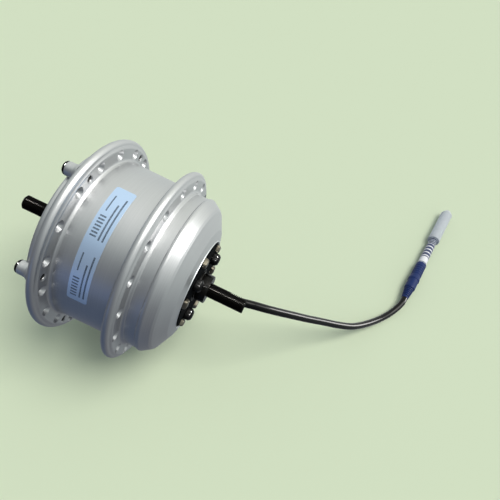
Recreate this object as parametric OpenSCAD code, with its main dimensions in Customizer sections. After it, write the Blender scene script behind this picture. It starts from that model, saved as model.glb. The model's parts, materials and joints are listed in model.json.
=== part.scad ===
// Geared front hub motor for a bicycle wheel, cable end towards -Y, +Z up.
// The axis of the wheel is Y, and the origin is on it, half way along the axle.
// Lengths are millimetres. Places along the axis are heights h from the hub's middle
// plane, which lies half way between the spoke flanges. They grow away from the cable.

/* [Axle] */
// Whole length of the axle
axle_len = 163; // [158:1:172]
// Thread diameter at both ends
thread_d = 12; // [11:0.5:13]
// Width across the two flats of each threaded end
flats_w = 9.8; // [9.4:0.1:10.4]
// Distance between the two dropout faces
dropout_w = 100; // [98:1:102]
// Diameter of the hollow, cable end of the axle inside the hub
journal_d = 15; // [14.5:0.1:15.5]
// Diameter of the axle where the stator sits
stator_seat_d = 17; // [16.5:0.5:20]
// Bore that the cable passes through
cable_bore = 6.4; // [6:0.1:7]
// Diameter of the collar that the cable-side dropout bears on
collar_d = 19.8; // [19:0.1:20.4]
// Diameter of the spacer that the other dropout bears on
spacer_d = 18; // [17:0.5:19]

/* [Spoke flanges] */
// Outer diameter of both flanges
flange_d = 134.7; // [132:0.1:140]
// Thickness of the rounded rim of a flange
bead_t = 5; // [4:0.1:6]
// Distance between the two rows of spoke holes
row_gap = 46.3; // [44:0.1:48]
// How far the rounded rim lies behind the face that the spoke holes are drilled in
rim_set = 3.6; // [3.4:0.1:4.2]
// Pitch circle of the spoke holes
spoke_pitch_d = 120; // [119:0.5:122]
// Spoke holes in each flange
spoke_count = 18; // [18:18:18]
// Spoke hole
spoke_hole_d = 3; // [2.5:0.1:3.6]
// Mouth of the countersink round a spoke hole
spoke_sink_d = 7.2; // [6:0.1:7.6]

/* [Shell] */
// Outer diameter of the drum between the flanges
drum_d = 110; // [108.5:0.5:111]
// Bore of the drum round the rotor
drum_bore = 100; // [98.5:0.5:101]
// Height of the shoulder inside the shell at the cable end
floor_h = -38.5; // [-39:0.1:-38]
// Height of the bottom of the recess in the cable-end wall
recess_h = -45.7; // [-46:0.1:-45.2]
// Height of the lip round the recess
lip_h = -48.7; // [-49.4:0.1:-48.2]
// Diameter of the recess
recess_d = 62.8; // [61:0.1:64]

/* [End cover] */
// Diameter of the end cover
cover_d = 114.2; // [113:0.1:115]
// Height of the outer face of the end cover at its rim
cover_rim_h = 36.6; // [36:0.1:37.2]
// Gap between the bearing boss in the middle of the end cover and the dropout face
cover_gap = 2; // [1.4:0.1:2.4]
// Diameter of the screw bosses
screw_boss_d = 8.5; // [7.8:0.1:9]
// Height of the end of the screw bosses
screw_boss_h = 36.7; // [36:0.1:41]
// Thickness of the gasket
gasket_t = 0.5; // [0.3:0.1:0.8]

/* [Fasteners] */
// Thread of the screws that hold the end cover
cover_screw_d = 4; // [3:0.5:4.5]
// Head of the screws that hold the end cover
cover_head_d = 8; // [7:0.1:8.4]
// Thickness of those heads
cover_head_t = 1.6; // [1.2:0.1:2.4]
// Pitch circle of the four screws of the mounting disc
disc_pitch_d = 41; // [40:0.5:42]
// Thread of the screws of the mounting disc
disc_screw_d = 5; // [4:0.5:5.5]
// Head of those screws
disc_head_d = 8.5; // [8:0.1:9]
// Height of those heads
disc_head_t = 5; // [4:0.1:5.5]

/* [Cable-end discs] */
// Thickness of the black mounting disc
disc_t = 2.7; // [2:0.1:3]
// Thickness of the plated lug ring under it
lug_plate_t = 1; // [0.8:0.1:1.5]
// How far the lugs stand above the lug ring
lug_rise = 4.9; // [4:0.1:5.5]

/* [Gear train] */
// Gear module
module_g = 1.2; // [1.15:0.01:1.22]
// Face width of the planet gears
planet_w = 11; // [9:0.5:11.5]
// Diameter of the planet pins
planet_pin_d = 7; // [6:0.5:8]
// Wall of the bush in each planet
bush_wall = 1.5; // [1:0.1:2]
// Thickness of the planet carrier
carrier_t = 4; // [3.5:0.1:4.2]

/* [Motor] */
// Outer diameter of the rotor
rotor_d = 95; // [93:0.5:96]
// Wall of the rotor's steel ring
rotor_wall = 2.5; // [2:0.1:3]
// Thickness of the magnets
magnet_t = 2.6; // [2:0.1:3]
// Number of magnets
magnet_count = 20; // [16:2:24]
// Gap between magnets and stator
air_gap = 0.5; // [0.4:0.1:0.8]
// Number of stator teeth
tooth_count = 18; // [18:18:18]
// Stack height of the stator's sheets
stack_h = 21; // [18:0.5:22]
// Bore of the stator's sheets
stack_bore = 48; // [46:0.5:50]
// Thickness of a coil beside its tooth
coil_t = 2.4; // [1.8:0.1:2.5]

/* [Cable] */
// Diameter of the cable
cable_d = 5.9; // [5.4:0.1:6.1]
// Diameter of the plug's body
plug_d = 10.4; // [9.5:0.1:10.8]
// Diameter of the plug's cap
cap_d = 12.6; // [12:0.1:13]

/* [Hidden] */
$fn = 96;

// Where the hub's middle plane lies along Y
mid_y = 2;
// Tiny overlap that makes two solids of one piece join
e = 0.01;
// Clearance of a seat, of a running fit, and of a free gap
seat = 0.02;
run = 0.06;
free_gap = 0.3;

// Ends of the axle, and the faces that the dropouts bear on
axle_lo = -axle_len / 2 - mid_y;
axle_hi = axle_len / 2 - mid_y;
drop_lo = -57;
drop_hi = drop_lo + dropout_w;
// The axle's flats face this way about the axis, measured from X towards -Z
flat_angle = -30;
// The first turn of thread is left off, down to the root
lead_l = 1.2;
lead_r = thread_d / 2 - 0.7;

// Spoke flanges: the face at the hole circle and the middle of the rounded rim
flange_r = flange_d / 2;
bead_r = bead_t / 2;
row_hi = row_gap / 2;
row_lo = -row_gap / 2;
rim_hi = row_hi + rim_set;
rim_lo = row_lo + rim_set;
seat_h = rim_hi + bead_r - 0.3;
spoke_r = spoke_pitch_d / 2;
// First spoke hole of each row, and first of the six screws of the end cover
spoke_start_hi = 15.8;
spoke_start_lo = 5.9;
cover_screw_start = 25.8;
cover_screw_count = 6;

// Shell
drum_r = drum_d / 2;
bore_r = drum_bore / 2;
gear_bore_r = bore_r + 1.5;
gear_seat_h = 13;
wall_t = 3.5;
gasket_h = seat_h + gasket_t;
disc_screw_start = 58;
disc_screw_count = 4;
lug_start = 29;
lug_count = 6;
disc_top_h = recess_h - lug_plate_t - disc_t;
disc_r = recess_d / 2 - 0.5;
lug_r = disc_r - 5.8;

// Bearings: bore, outer diameter, width
cable_brg = [journal_d, 28, 7];
cover_brg = [thread_d, 28, 8];
rotor_brg = [thread_d, 21, 5];
cable_brg_h = -44;
cover_seal_t = 1;
cover_boss_h = drop_hi - cover_gap;
cover_brg_h = cover_boss_h - cover_seal_t - cover_brg[2];
rotor_brg_h = [-3.4, 3];

// Gears
sun_teeth = 18;
planet_teeth = 30;
ring_teeth = 78;
planet_count = 3;
centre_d = module_g * (sun_teeth + planet_teeth) / 2;
gear_h = 14;
sun_h = 11.5;
backlash = 0.16;
tooth_gap = 0.24;
planet_start = 0;
ring_gear_top = seat_h - 2.2;
carrier_h = gear_h + planet_w + 1.5;
carrier_bore_r = 12.8;
roller_d = 3;
roller_count = 8;
clutch_hub_r = carrier_bore_r - roller_d - 0.1;

// Motor
rotor_r = rotor_d / 2;
magnet_out_r = rotor_r - rotor_wall;
magnet_in_r = magnet_out_r - magnet_t;
stack_r = magnet_in_r - air_gap;
stack_hi = 0;
stack_lo = stack_hi - stack_h;
insulator_t = 1.2;
yoke_w = 5;
tooth_w = 4.5;
tip_t = 2;
rotor_plate_h = 9;
rotor_hub_lo = -5;
coil_lo = stack_lo - insulator_t - coil_t;
coil_hi = stack_hi + insulator_t + coil_t;

// Cable route, chosen by eye: it leaves the slot in the axle, sinks to the floor and
// turns into the plug. Points are millimetres in the part's own frame.
cable_route = [[0, -64, 0], [0, -69, 0], [1.1, -75, 0.6], [2.2, -81, 1.2], [4.3, -87.3, 0.2],
               [8.3, -95.8, -3.6], [14.1, -105.2, -9.5], [21.5, -116.4, -17], [29.7, -128.4, -25.5],
               [39.5, -142.2, -35], [49.1, -156.9, -44], [59.2, -171, -52], [70.3, -182.4, -58],
               [81.4, -192.3, -62], [92, -200.9, -64.2], [102, -208, -64],
               [110, -212.5, -62.6], [116, -215, -61.3], [122, -216.2, -61]];
plug_at = [122, -216.2, -61];
plug_turn = -11.2;
boot_l = 14;
body_l = 38;
sleeve_l = 50;
cap_l = 58;
sleeve_d = plug_d - 2.4;
tag_l = 30;

// Puts what is drawn about the Z axis onto the axis of the wheel
module hub() {
    translate([0, mid_y, 0]) rotate([-90, 0, 0]) children();
}

// A plain ring about the axis from height a to height b
module tube(ro, ri, a, b) {
    translate([0, 0, a]) difference() {
        cylinder(r = ro, h = b - a);
        translate([0, 0, -1]) cylinder(r = ri, h = b - a + 2);
    }
}

// A solid disc about the axis from height a to height b
module rod(r, a, b) {
    translate([0, 0, a]) cylinder(r = r, h = b - a);
}

// Copies round a circle
module around(count, start, r) {
    for (i = [0 : count - 1]) {
        rotate(start + i * 360 / count) translate([r, 0, 0]) children();
    }
}

// Bearing measures: thickness of a ring, ball diameter, pitch radius, depth of groove
function race_t(b) = (b[1] - b[0]) / 2 * 0.3;
function ball_d(b) = (b[1] - b[0]) / 2 * 0.6;
function pitch_r(b) = (b[0] + b[1]) / 4;

// The groove that the balls of a bearing run in
module groove(b, h) {
    translate([0, 0, h + b[2] / 2]) rotate_extrude() translate([pitch_r(b), 0]) circle(d = ball_d(b) + 2 * run);
}

module bearing_outer(b, h) {
    difference() {
        tube(b[1] / 2 - seat, b[1] / 2 - race_t(b), h, h + b[2]);
        groove(b, h);
    }
}

module bearing_inner(b, h) {
    difference() {
        tube(b[0] / 2 + race_t(b), b[0] / 2 + seat, h, h + b[2]);
        groove(b, h);
    }
}

module bearing_balls(b, h, count) {
    around(count, 0, pitch_r(b)) translate([0, 0, h + b[2] / 2]) sphere(d = ball_d(b));
}

// Involute measures: base radius, angle at which a flank reaches a radius
function base_r(teeth) = module_g * teeth / 2 * cos(20);
function flank_deg(teeth, r) = let (b = base_r(teeth), t = sqrt(max(0, pow(r / b, 2) - 1)))
    t * 180 / PI - atan(t);
function half_deg(teeth, r, thin) = 90 / teeth - thin / (module_g * teeth / 2) * 90 / PI
    - flank_deg(teeth, r) + flank_deg(teeth, module_g * teeth / 2);

// Outline of a gear with teeth outside, and one tooth along X
function gear_points(teeth, thin, root, tip) = [
    for (i = [0 : teeth - 1]) for (k = [-3 : 3])
        let (j = abs(k), r = j == 3 ? root : j == 2 ? max(root + 0.1, base_r(teeth)) : j == 1 ? module_g * teeth / 2 : tip,
             s = j == 0 ? 0 : k / j,
             a = i * 360 / teeth + (j == 0 ? 0 : s * half_deg(teeth, j == 1 ? r : r, thin)))
        if (j != 0) [r * cos(a), r * sin(a)]
        else each [[tip * cos(a - half_deg(teeth, tip, thin)), tip * sin(a - half_deg(teeth, tip, thin))],
                   [tip * cos(a + half_deg(teeth, tip, thin)), tip * sin(a + half_deg(teeth, tip, thin))]]];

module gear_2d(teeth) {
    polygon(gear_points(teeth, backlash / 2, module_g * teeth / 2 - 1.15 * module_g - tooth_gap / 2,
                        module_g * teeth / 2 + module_g - tooth_gap / 2));
}

// Hole outline of the ring gear: the gaps of its teeth are the teeth of this outline
module ring_gap_2d() {
    rotate(180 / ring_teeth) polygon(gear_points(ring_teeth, -backlash / 2,
        module_g * ring_teeth / 2 - 0.8 * module_g, module_g * ring_teeth / 2 + 1.2 * module_g));
}

// Keeps a slice of angles about the axis, from the X direction, less than a half turn
module wedge(a, b, r, lo, hi) {
    mid = (a + b) / 2;
    intersection() {
        children();
        translate([0, 0, lo]) linear_extrude(height = hi - lo) polygon([
            [0, 0], [r * cos(a), r * sin(a)], [r * 1.5 * cos((a + mid) / 2), r * 1.5 * sin((a + mid) / 2)],
            [r * 1.5 * cos(mid), r * 1.5 * sin(mid)],
            [r * 1.5 * cos((b + mid) / 2), r * 1.5 * sin((b + mid) / 2)], [r * cos(b), r * sin(b)]]);
    }
}

// What is milled away to leave two flats between two heights
module flat_cuts(a, b) {
    rotate(flat_angle) for (side = [-1, 1]) translate([side * (flats_w + thread_d) / 2, 0, (a + b) / 2])
        cube([thread_d, 2 * thread_d, b - a], center = true);
}

module axle() {
    slot_l = 12;
    color("dimgray") hub() difference() {
        union() {
            rod(lead_r, axle_lo, axle_lo + 2 * lead_l);
            rod(thread_d / 2, axle_lo + lead_l, drop_lo + 2);
            rod(journal_d / 2, drop_lo, cable_brg_h + cable_brg[2] + 6);
            rod(stator_seat_d / 2, cable_brg_h + cable_brg[2], rotor_hub_lo - 2);
            rod(thread_d / 2, rotor_hub_lo - 3, axle_hi - lead_l);
            rod(lead_r, axle_hi - 2 * lead_l, axle_hi);
        }
        flat_cuts(axle_lo - 1, drop_lo - 0.2);
        flat_cuts(drop_hi, axle_hi + 1);
        rod(cable_bore / 2, axle_lo - 1, cable_brg_h + cable_brg[2] + 4);
        // Slot that lets the cable turn out of the end of the axle
        rotate(flat_angle) translate([0, -cable_bore / 2 + 0.1, axle_lo - 1])
            cube([thread_d, cable_bore - 0.2, slot_l + 1]);
        // Way out for the leads behind the bearing
        translate([0, 0, cable_brg_h + cable_brg[2] + 2.6]) rotate([0, 90, 0])
            cylinder(d = 5, h = stator_seat_d);
        // Keyways of the stator and of the clutch
        translate([-2, stator_seat_d / 2 - 1.8, stack_lo + 2]) cube([4, 4, 8]);
        translate([-1.5, thread_d / 2 - 1.2, carrier_h]) cube([3, 3, 5.5]);
    }
}

module cable_side_collar() {
    color("black") hub() difference() {
        rod(collar_d / 2, drop_lo, cable_brg_h);
        rod(journal_d / 2 + seat, drop_lo - 1, cable_brg_h + 1);
        tube(collar_d, collar_d / 2 - 0.6, drop_lo - 1, drop_lo + 0.6);
    }
}

module cover_side_spacer() {
    color("silver") hub() tube(spacer_d / 2, thread_d / 2 + seat, cover_brg_h + cover_brg[2], drop_hi);
}

module cable_bearing_inner() {
    color("lightgray") hub() bearing_inner(cable_brg, cable_brg_h);
}

module cable_bearing_outer() {
    color("lightgray") hub() bearing_outer(cable_brg, cable_brg_h);
}

module cable_bearing_balls() {
    color("white") hub() bearing_balls(cable_brg, cable_brg_h, 11);
}

module cover_bearing_inner() {
    color("lightgray") hub() bearing_inner(cover_brg, cover_brg_h);
}

module cover_bearing_outer() {
    color("lightgray") hub() bearing_outer(cover_brg, cover_brg_h);
}

module cover_bearing_balls() {
    color("white") hub() bearing_balls(cover_brg, cover_brg_h, 9);
}

module rotor_bearing_inners() {
    color("lightgray") hub() for (h = rotor_brg_h) bearing_inner(rotor_brg, h);
}

module rotor_bearing_outers() {
    color("lightgray") hub() for (h = rotor_brg_h) bearing_outer(rotor_brg, h);
}

module rotor_bearing_balls() {
    color("white") hub() for (h = rotor_brg_h) bearing_balls(rotor_brg, h, 12);
}

// Aluminium centre that carries the stator's sheets on the axle
module stator_hub() {
    sleeve_r = stator_seat_d / 2 + 4.5;
    color("gainsboro") hub() difference() {
        union() {
            rod(sleeve_r, stack_lo - 5, stack_lo + 11);
            rod(stack_bore / 2 - seat, stack_lo, stack_lo + 4);
            tube(stack_bore / 2 - seat, stack_bore / 2 - 3, stack_lo + 3, stack_hi);
        }
        rod(stator_seat_d / 2 + seat, stack_lo - 6, stack_lo + 12);
        translate([-2 - seat, 0, stack_lo + 1.9]) cube([4 + 2 * seat, stator_seat_d / 2 + 2.2, 20]);
        around(6, 30, (sleeve_r + stack_bore / 2 - 3) / 2) rod(3, stack_lo - 1, stack_lo + 5);
    }
}

module stator_key() {
    color("goldenrod") hub() translate([-2, stator_seat_d / 2 - 1.8, stack_lo + 2]) cube([4, 3.8, 8]);
}

// Cross-section of the stator: yoke, teeth and tips
module stator_slice(lo, hi, tip) {
    difference() {
        union() {
            tube(stack_bore / 2 + yoke_w, stack_bore / 2, lo, hi);
            intersection() {
                tube(stack_r, stack_bore / 2, lo, hi);
                around(tooth_count, 0, 0) translate([stack_bore / 2 + 1, -tooth_w / 2, lo])
                    cube([stack_r, tooth_w, hi - lo]);
            }
            intersection() {
                tube(tip, tip - tip_t, lo, hi);
                around(tooth_count, 0, 0) translate([stack_bore / 2, -5.8, lo]) cube([stack_r, 11.6, hi - lo]);
            }
        }
    }
}

module stator_core() {
    color("slategray") hub() stator_slice(stack_lo, stack_hi, stack_r);
}

module stator_insulators() {
    color("ivory") hub() {
        stator_slice(stack_hi, stack_hi + insulator_t, stack_r);
        stator_slice(stack_lo - insulator_t, stack_lo, stack_r);
    }
}

module stator_coils() {
    in_r = stack_bore / 2 + yoke_w + 1;
    out_r = stack_r - tip_t - 0.3;
    wide = tooth_w + 0.2;
    color("peru") hub() around(tooth_count, 0, 0) difference() {
        translate([in_r, -wide / 2 - coil_t, coil_lo]) cube([out_r - in_r, wide + 2 * coil_t, coil_hi - coil_lo]);
        translate([in_r - 1, -wide / 2, stack_lo - insulator_t]) cube([out_r, wide, stack_h + 2 * insulator_t]);
    }
}

// Curved circuit board at the cable end of the stator, seated on the ends of the coils
module hall_board() {
    color("green") hub() wedge(52, 128, 50, coil_lo - 3, coil_lo + 1)
        tube(stack_r - tip_t - 1, stack_bore / 2 + yoke_w + 1.5, coil_lo - 1.6, coil_lo);
}

module hall_sensors() {
    color("black") hub() for (i = [3 : 5]) rotate((i + 0.5) * 360 / tooth_count)
        translate([stack_r - tip_t - 3.2, -1.2, coil_lo]) cube([1.6, 2.4, 4]);
}

// Three leads from the way out of the axle to the coils
module motor_leads() {
    lead_d = 1.5;
    lead_h = cable_brg_h + cable_brg[2] + 2.6;
    color("gold") hub() for (i = [-1 : 1]) translate([0, i * 1.6, 0]) {
        translate([stator_seat_d / 2 - 3, 0, lead_h]) rotate([0, 90, 0])
            cylinder(d = lead_d, h = stack_bore / 2 + yoke_w + 4 - stator_seat_d / 2 + 3);
        translate([stack_bore / 2 + yoke_w + 4, 0, lead_h]) sphere(d = lead_d);
        translate([stack_bore / 2 + yoke_w + 4, 0, lead_h]) cylinder(d = lead_d, h = coil_lo - lead_h);
    }
}

module clutch_hub() {
    color("silver") hub() difference() {
        union() {
            rod(clutch_hub_r, carrier_h, carrier_h + carrier_t);
            rod(thread_d / 2 + 2.3, carrier_h + e, cover_brg_h);
        }
        rod(thread_d / 2 + seat, carrier_h - 1, cover_brg_h + 1);
        translate([-1.5 - seat, 0, carrier_h - 1]) cube([3 + 2 * seat, thread_d / 2 + 1.6, 6.6]);
    }
}

module clutch_key() {
    color("goldenrod") hub() translate([-1.5, thread_d / 2 - 1.2, carrier_h]) cube([3, 2.6, 5.4]);
}

module clutch_rollers() {
    color("white") hub() around(roller_count, 0, clutch_hub_r + roller_d / 2 + 0.05)
        rod(roller_d / 2, carrier_h + 0.2, carrier_h + carrier_t - 0.2);
}

module planet_carrier() {
    color("silver") hub() difference() {
        union() {
            rod(carrier_bore_r + 4, carrier_h, carrier_h + carrier_t);
            around(planet_count, planet_start, centre_d) rod(planet_pin_d / 2 + 4, carrier_h, carrier_h + carrier_t);
            around(planet_count, planet_start, centre_d / 2)
                translate([-centre_d / 2, -planet_pin_d / 2 - 3, carrier_h]) cube([centre_d, planet_pin_d + 6, carrier_t]);
        }
        rod(carrier_bore_r, carrier_h - 1, carrier_h + carrier_t + 1);
        around(planet_count, planet_start, centre_d) rod(planet_pin_d / 2 + seat, carrier_h - 1, carrier_h + carrier_t + 1);
    }
}

module planet_pins() {
    color("lightgray") hub() around(planet_count, planet_start, centre_d) difference() {
        rod(planet_pin_d / 2, gear_h - 1.9, carrier_h + carrier_t);
        tube(planet_pin_d, planet_pin_d / 2 - 0.6, gear_h - 1.3, gear_h - 0.5);
    }
}

module planet_clips() {
    color("dimgray") hub() around(planet_count, planet_start, centre_d) difference() {
        tube(planet_pin_d / 2 + 1.4, planet_pin_d / 2 - 0.6 + seat, gear_h - 1.2, gear_h - 0.6);
        translate([0, -1.4, gear_h - 2]) cube([planet_pin_d, 2.8, 3]);
    }
}

module planet_gear(i) {
    color("wheat") hub() rotate(planet_start + i * 360 / planet_count) translate([centre_d, 0, 0]) difference() {
        rotate(180 / planet_teeth) translate([0, 0, gear_h]) linear_extrude(height = planet_w) gear_2d(planet_teeth);
        rod(planet_pin_d / 2 + bush_wall + seat, gear_h - 1, gear_h + planet_w + 1);
    }
}

module planet_bush(i) {
    color("darkgoldenrod") hub() rotate(planet_start + i * 360 / planet_count) translate([centre_d, 0, 0])
        tube(planet_pin_d / 2 + bush_wall, planet_pin_d / 2 + run, gear_h - 0.3, gear_h + planet_w + 0.3);
}

module planet_gear_a() { planet_gear(0); }
module planet_gear_b() { planet_gear(1); }
module planet_gear_c() { planet_gear(2); }
module planet_bush_a() { planet_bush(0); }
module planet_bush_b() { planet_bush(1); }
module planet_bush_c() { planet_bush(2); }

module sun_gear() {
    color("silver") hub() difference() {
        union() {
            translate([0, 0, sun_h + 1]) linear_extrude(height = gear_h + planet_w - sun_h - 0.6) gear_2d(sun_teeth);
            rod(rotor_brg[1] / 2 + 1.5, sun_h, sun_h + 1.2);
            rod(rotor_brg[1] / 2 - seat, rotor_brg_h[1] + rotor_brg[2], sun_h + e);
        }
        rod(thread_d / 2 + 0.4, rotor_brg_h[1], carrier_h + 5);
        rod(rotor_brg[0] / 2 + race_t(rotor_brg) + 0.4, rotor_brg_h[1], rotor_brg_h[1] + rotor_brg[2] + 0.4);
    }
}

module ring_gear() {
    color("gray") hub() difference() {
        rod(gear_bore_r - seat, gear_seat_h, ring_gear_top);
        translate([0, 0, gear_seat_h - 1]) linear_extrude(height = ring_gear_top - gear_seat_h + 2) ring_gap_2d();
    }
}

// Outline of the rounded rim's root and the spoke face of one flange, going down
function flange_face(rim) = let (face = rim - rim_set, top = flange_r - bead_r) [
    [top + 0.6, rim + bead_r - 0.3], [top + 0.6, rim - bead_r + 0.3], [top - 0.9, face + 0.3], [top - 1.6, face],
    [drum_r + 1.8, face], [drum_r + 0.9, face - 0.3], [drum_r + 0.3, face - 1], [drum_r, face - 2]];

// Section of the shell, with radii along X and heights along Y
module shell_section() {
    neck = drum_r - 0.3;
    lip_r = recess_d / 2;
    back_lo = rim_lo + bead_r - 0.3;
    hole_r = cable_brg[1] / 2 - 2;
    polygon(concat(
        [[gear_bore_r, seat_h]],
        flange_face(rim_hi),
        [[drum_r, back_lo + 2], [drum_r + 0.6, back_lo + 0.5], [drum_r + 1.8, back_lo]],
        flange_face(rim_lo),
        [[neck, row_lo - 2.3], [neck, -32.4], [neck + 0.6, -32.9], [neck + 0.8, -34], [neck + 0.5, -35.2],
         [neck - 0.3, -36.4], [51.8, -40.4], [50.4, -41.6], [39.7, -46.9], [lip_r + 1, lip_h],
         [lip_r + 0.4, lip_h], [lip_r, lip_h + 0.5], [lip_r, recess_h], [hole_r, recess_h],
         [hole_r, cable_brg_h], [hole_r + 2, cable_brg_h], [hole_r + 2, floor_h], [28, floor_h], [28, -42.2],
         [37, -42.2], [47, -38.5], [bore_r, -34], [bore_r, gear_seat_h], [gear_bore_r, gear_seat_h]]));
}

// Drilling of one row of spoke holes
module spoke_holes(row, start) {
    around(spoke_count, start, spoke_r) {
        rod(spoke_hole_d / 2, row - 2, row + 12);
        translate([0, 0, row - 1]) cylinder(d1 = spoke_sink_d + 2, d2 = spoke_hole_d, h = (spoke_sink_d - spoke_hole_d) / 2 + 1);
    }
}

module hub_shell() {
    color("silver") hub() difference() {
        union() {
            rotate_extrude() shell_section();
            for (rim = [rim_lo, rim_hi]) rotate_extrude() translate([flange_r - bead_r, rim]) circle(r = bead_r);
        }
        spoke_holes(row_hi, spoke_start_hi);
        spoke_holes(row_lo, spoke_start_lo);
        around(cover_screw_count, cover_screw_start, spoke_r) rod(cover_screw_d / 2, row_hi - 2, seat_h + 1);
        around(disc_screw_count, disc_screw_start, disc_pitch_d / 2) rod(disc_screw_d / 2, recess_h - 1, recess_h + 6.2);
    }
}

module cover_gasket() {
    color("black") hub() difference() {
        tube(cover_d / 2, gear_bore_r + 0.4, seat_h, gasket_h);
        around(cover_screw_count, cover_screw_start, spoke_r) rod(cover_screw_d / 2 + 0.3, seat_h - 1, gasket_h + 1);
    }
}

// Section of the end cover, with radii along X and heights along Y
module cover_section() {
    r = cover_d / 2;
    boss_r = cover_brg[1] / 2 + 5;
    polygon([[0, cover_boss_h], [boss_r - 1, cover_boss_h], [boss_r, cover_boss_h - 1],
             [boss_r + 0.6, cover_rim_h + 1.6], [boss_r + 2, cover_rim_h + 0.9], [r - 8, cover_rim_h],
             [r - 1.4, cover_rim_h], [r - 0.4, cover_rim_h - 0.5], [r, cover_rim_h - 1.5], [r, gasket_h],
             [gear_bore_r - 0.05, gasket_h], [gear_bore_r - 0.05, ring_gear_top + 0.05],
             [gear_bore_r - 4, ring_gear_top + 0.05], [gear_bore_r - 4.5, cover_rim_h - 3.8],
             [boss_r, cover_rim_h - 3.4], [boss_r - 0.5, cover_brg_h], [0, cover_brg_h]]);
}

module end_cover() {
    color("silver") hub() difference() {
        union() {
            rotate_extrude() cover_section();
            around(cover_screw_count, cover_screw_start, spoke_r) {
                rod(screw_boss_d / 2, gasket_h, screw_boss_h);
                translate([0, 0, gasket_h]) cylinder(d1 = screw_boss_d + 2.4, d2 = screw_boss_d, h = 2.4);
            }
        }
        rod(cover_brg[1] / 2, cover_brg_h - 1, cover_brg_h + cover_brg[2]);
        rod(cover_brg[1] / 2 - 2, cover_brg_h, cover_boss_h + 1);
        around(cover_screw_count, cover_screw_start, spoke_r) rod(cover_screw_d / 2 + 0.2, gasket_h - 1, screw_boss_h + 1);
    }
}

module cover_screws() {
    color("black") hub() around(cover_screw_count, cover_screw_start, spoke_r) difference() {
        union() {
            rod(cover_screw_d / 2 - seat, seat_h - 5, screw_boss_h + e);
            rod(cover_head_d / 2, screw_boss_h, screw_boss_h + cover_head_t - 0.5);
            translate([0, 0, screw_boss_h + cover_head_t - 0.5])
                cylinder(d1 = cover_head_d, d2 = cover_head_d - 1, h = 0.5);
        }
        translate([0, 0, screw_boss_h + 0.3]) cylinder(d = 2.9, h = 4, $fn = 6);
    }
}

module cable_seal() {
    color("dimgray") hub() difference() {
        tube(cable_brg[1] / 2 - 2 - seat, collar_d / 2 + run, disc_top_h + 0.6, cable_brg_h - 0.1);
        tube(cable_brg[1] / 2 - 3, collar_d / 2 + 0.8, disc_top_h, disc_top_h + 2.2);
    }
}

module cover_seal() {
    color("dimgray") hub() tube(cover_brg[1] / 2 - 2 - seat, spacer_d / 2 + run, cover_brg_h + cover_brg[2] + 0.05, cover_boss_h);
}

// Lug shape, grown by a clearance
module lugs(grow, lo, hi) {
    around(lug_count, lug_start, lug_r - grow) translate([0, -3.2 - grow, lo]) cube([5.2 + 2 * grow, 6.4 + 2 * grow, hi - lo]);
}

module lug_ring() {
    plate_lo = recess_h - lug_plate_t;
    color("khaki") hub() difference() {
        union() {
            tube(disc_r, cable_brg[1] / 2 - 2, plate_lo, recess_h);
            lugs(0, plate_lo - lug_rise, recess_h - 0.2);
        }
        around(disc_screw_count, disc_screw_start, disc_pitch_d / 2) rod(disc_screw_d / 2 + 0.25, plate_lo - 1, recess_h + 1);
    }
}

module mount_disc() {
    color("black") hub() difference() {
        tube(disc_r, cable_brg[1] / 2 - 2, disc_top_h, recess_h - lug_plate_t);
        lugs(0.2, disc_top_h - 1, recess_h);
        around(disc_screw_count, disc_screw_start, disc_pitch_d / 2) rod(disc_screw_d / 2 + 0.25, disc_top_h - 1, recess_h);
        tube(disc_r + 1, disc_r - 0.5, disc_top_h - 1, disc_top_h + 0.5);
    }
}

module mount_screws() {
    color("black") hub() around(disc_screw_count, disc_screw_start, disc_pitch_d / 2) difference() {
        union() {
            rod(disc_screw_d / 2 - seat, disc_top_h - e, recess_h + 6);
            rod(disc_head_d / 2, disc_top_h - disc_head_t + 0.5, disc_top_h);
            translate([0, 0, disc_top_h - disc_head_t]) cylinder(d1 = disc_head_d - 1, d2 = disc_head_d, h = 0.5 + e);
        }
        translate([0, 0, disc_top_h - disc_head_t - 1]) cylinder(d = 4.6, h = 3.6, $fn = 6);
    }
}

// Blank sticker on the drum
module drum_label() {
    label_t = 0.15;
    label_h = 5;
    label_w = 12.5;
    label_turn = -125.8;
    label_l = 75;
    half = label_l / drum_r * 90 / PI;
    color("white") hub() wedge(label_turn - half, label_turn + half, drum_r + 3, label_h - label_w / 2 - 1, label_h + label_w / 2 + 1)
        tube(drum_r + label_t, drum_r, label_h - label_w / 2, label_h + label_w / 2);
}

module rotor_can() {
    color("steelblue") hub() difference() {
        union() {
            rod(rotor_r, rotor_plate_h, sun_h);
            tube(rotor_r, magnet_out_r, stack_lo - 3, rotor_plate_h + e);
            rod(rotor_brg[1] / 2 + 3.5, rotor_hub_lo, rotor_plate_h + e);
        }
        rod(rotor_brg[1] / 2, rotor_hub_lo + 1.6, sun_h + 1);
        rod(rotor_brg[1] / 2 - 1.2, rotor_hub_lo - 1, sun_h);
        around(6, 0, 30) rod(6, rotor_plate_h - 1, sun_h + 1);
    }
}

module rotor_magnets() {
    step = 360 / magnet_count;
    color("darkslategray") hub() difference() {
        tube(magnet_out_r, magnet_in_r, stack_lo - 1, stack_hi + 1);
        around(magnet_count, step / 2, 0) translate([magnet_in_r - 1, -0.4, stack_lo - 2]) cube([magnet_t + 2, 0.8, stack_h + 4]);
    }
}

module cable_inner() {
    color("black") hub() rod(cable_d / 2, mid_to_h(-64), cable_brg_h + cable_brg[2] + 1);
}

// Height of a place along Y
function mid_to_h(y) = y - mid_y;

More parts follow.
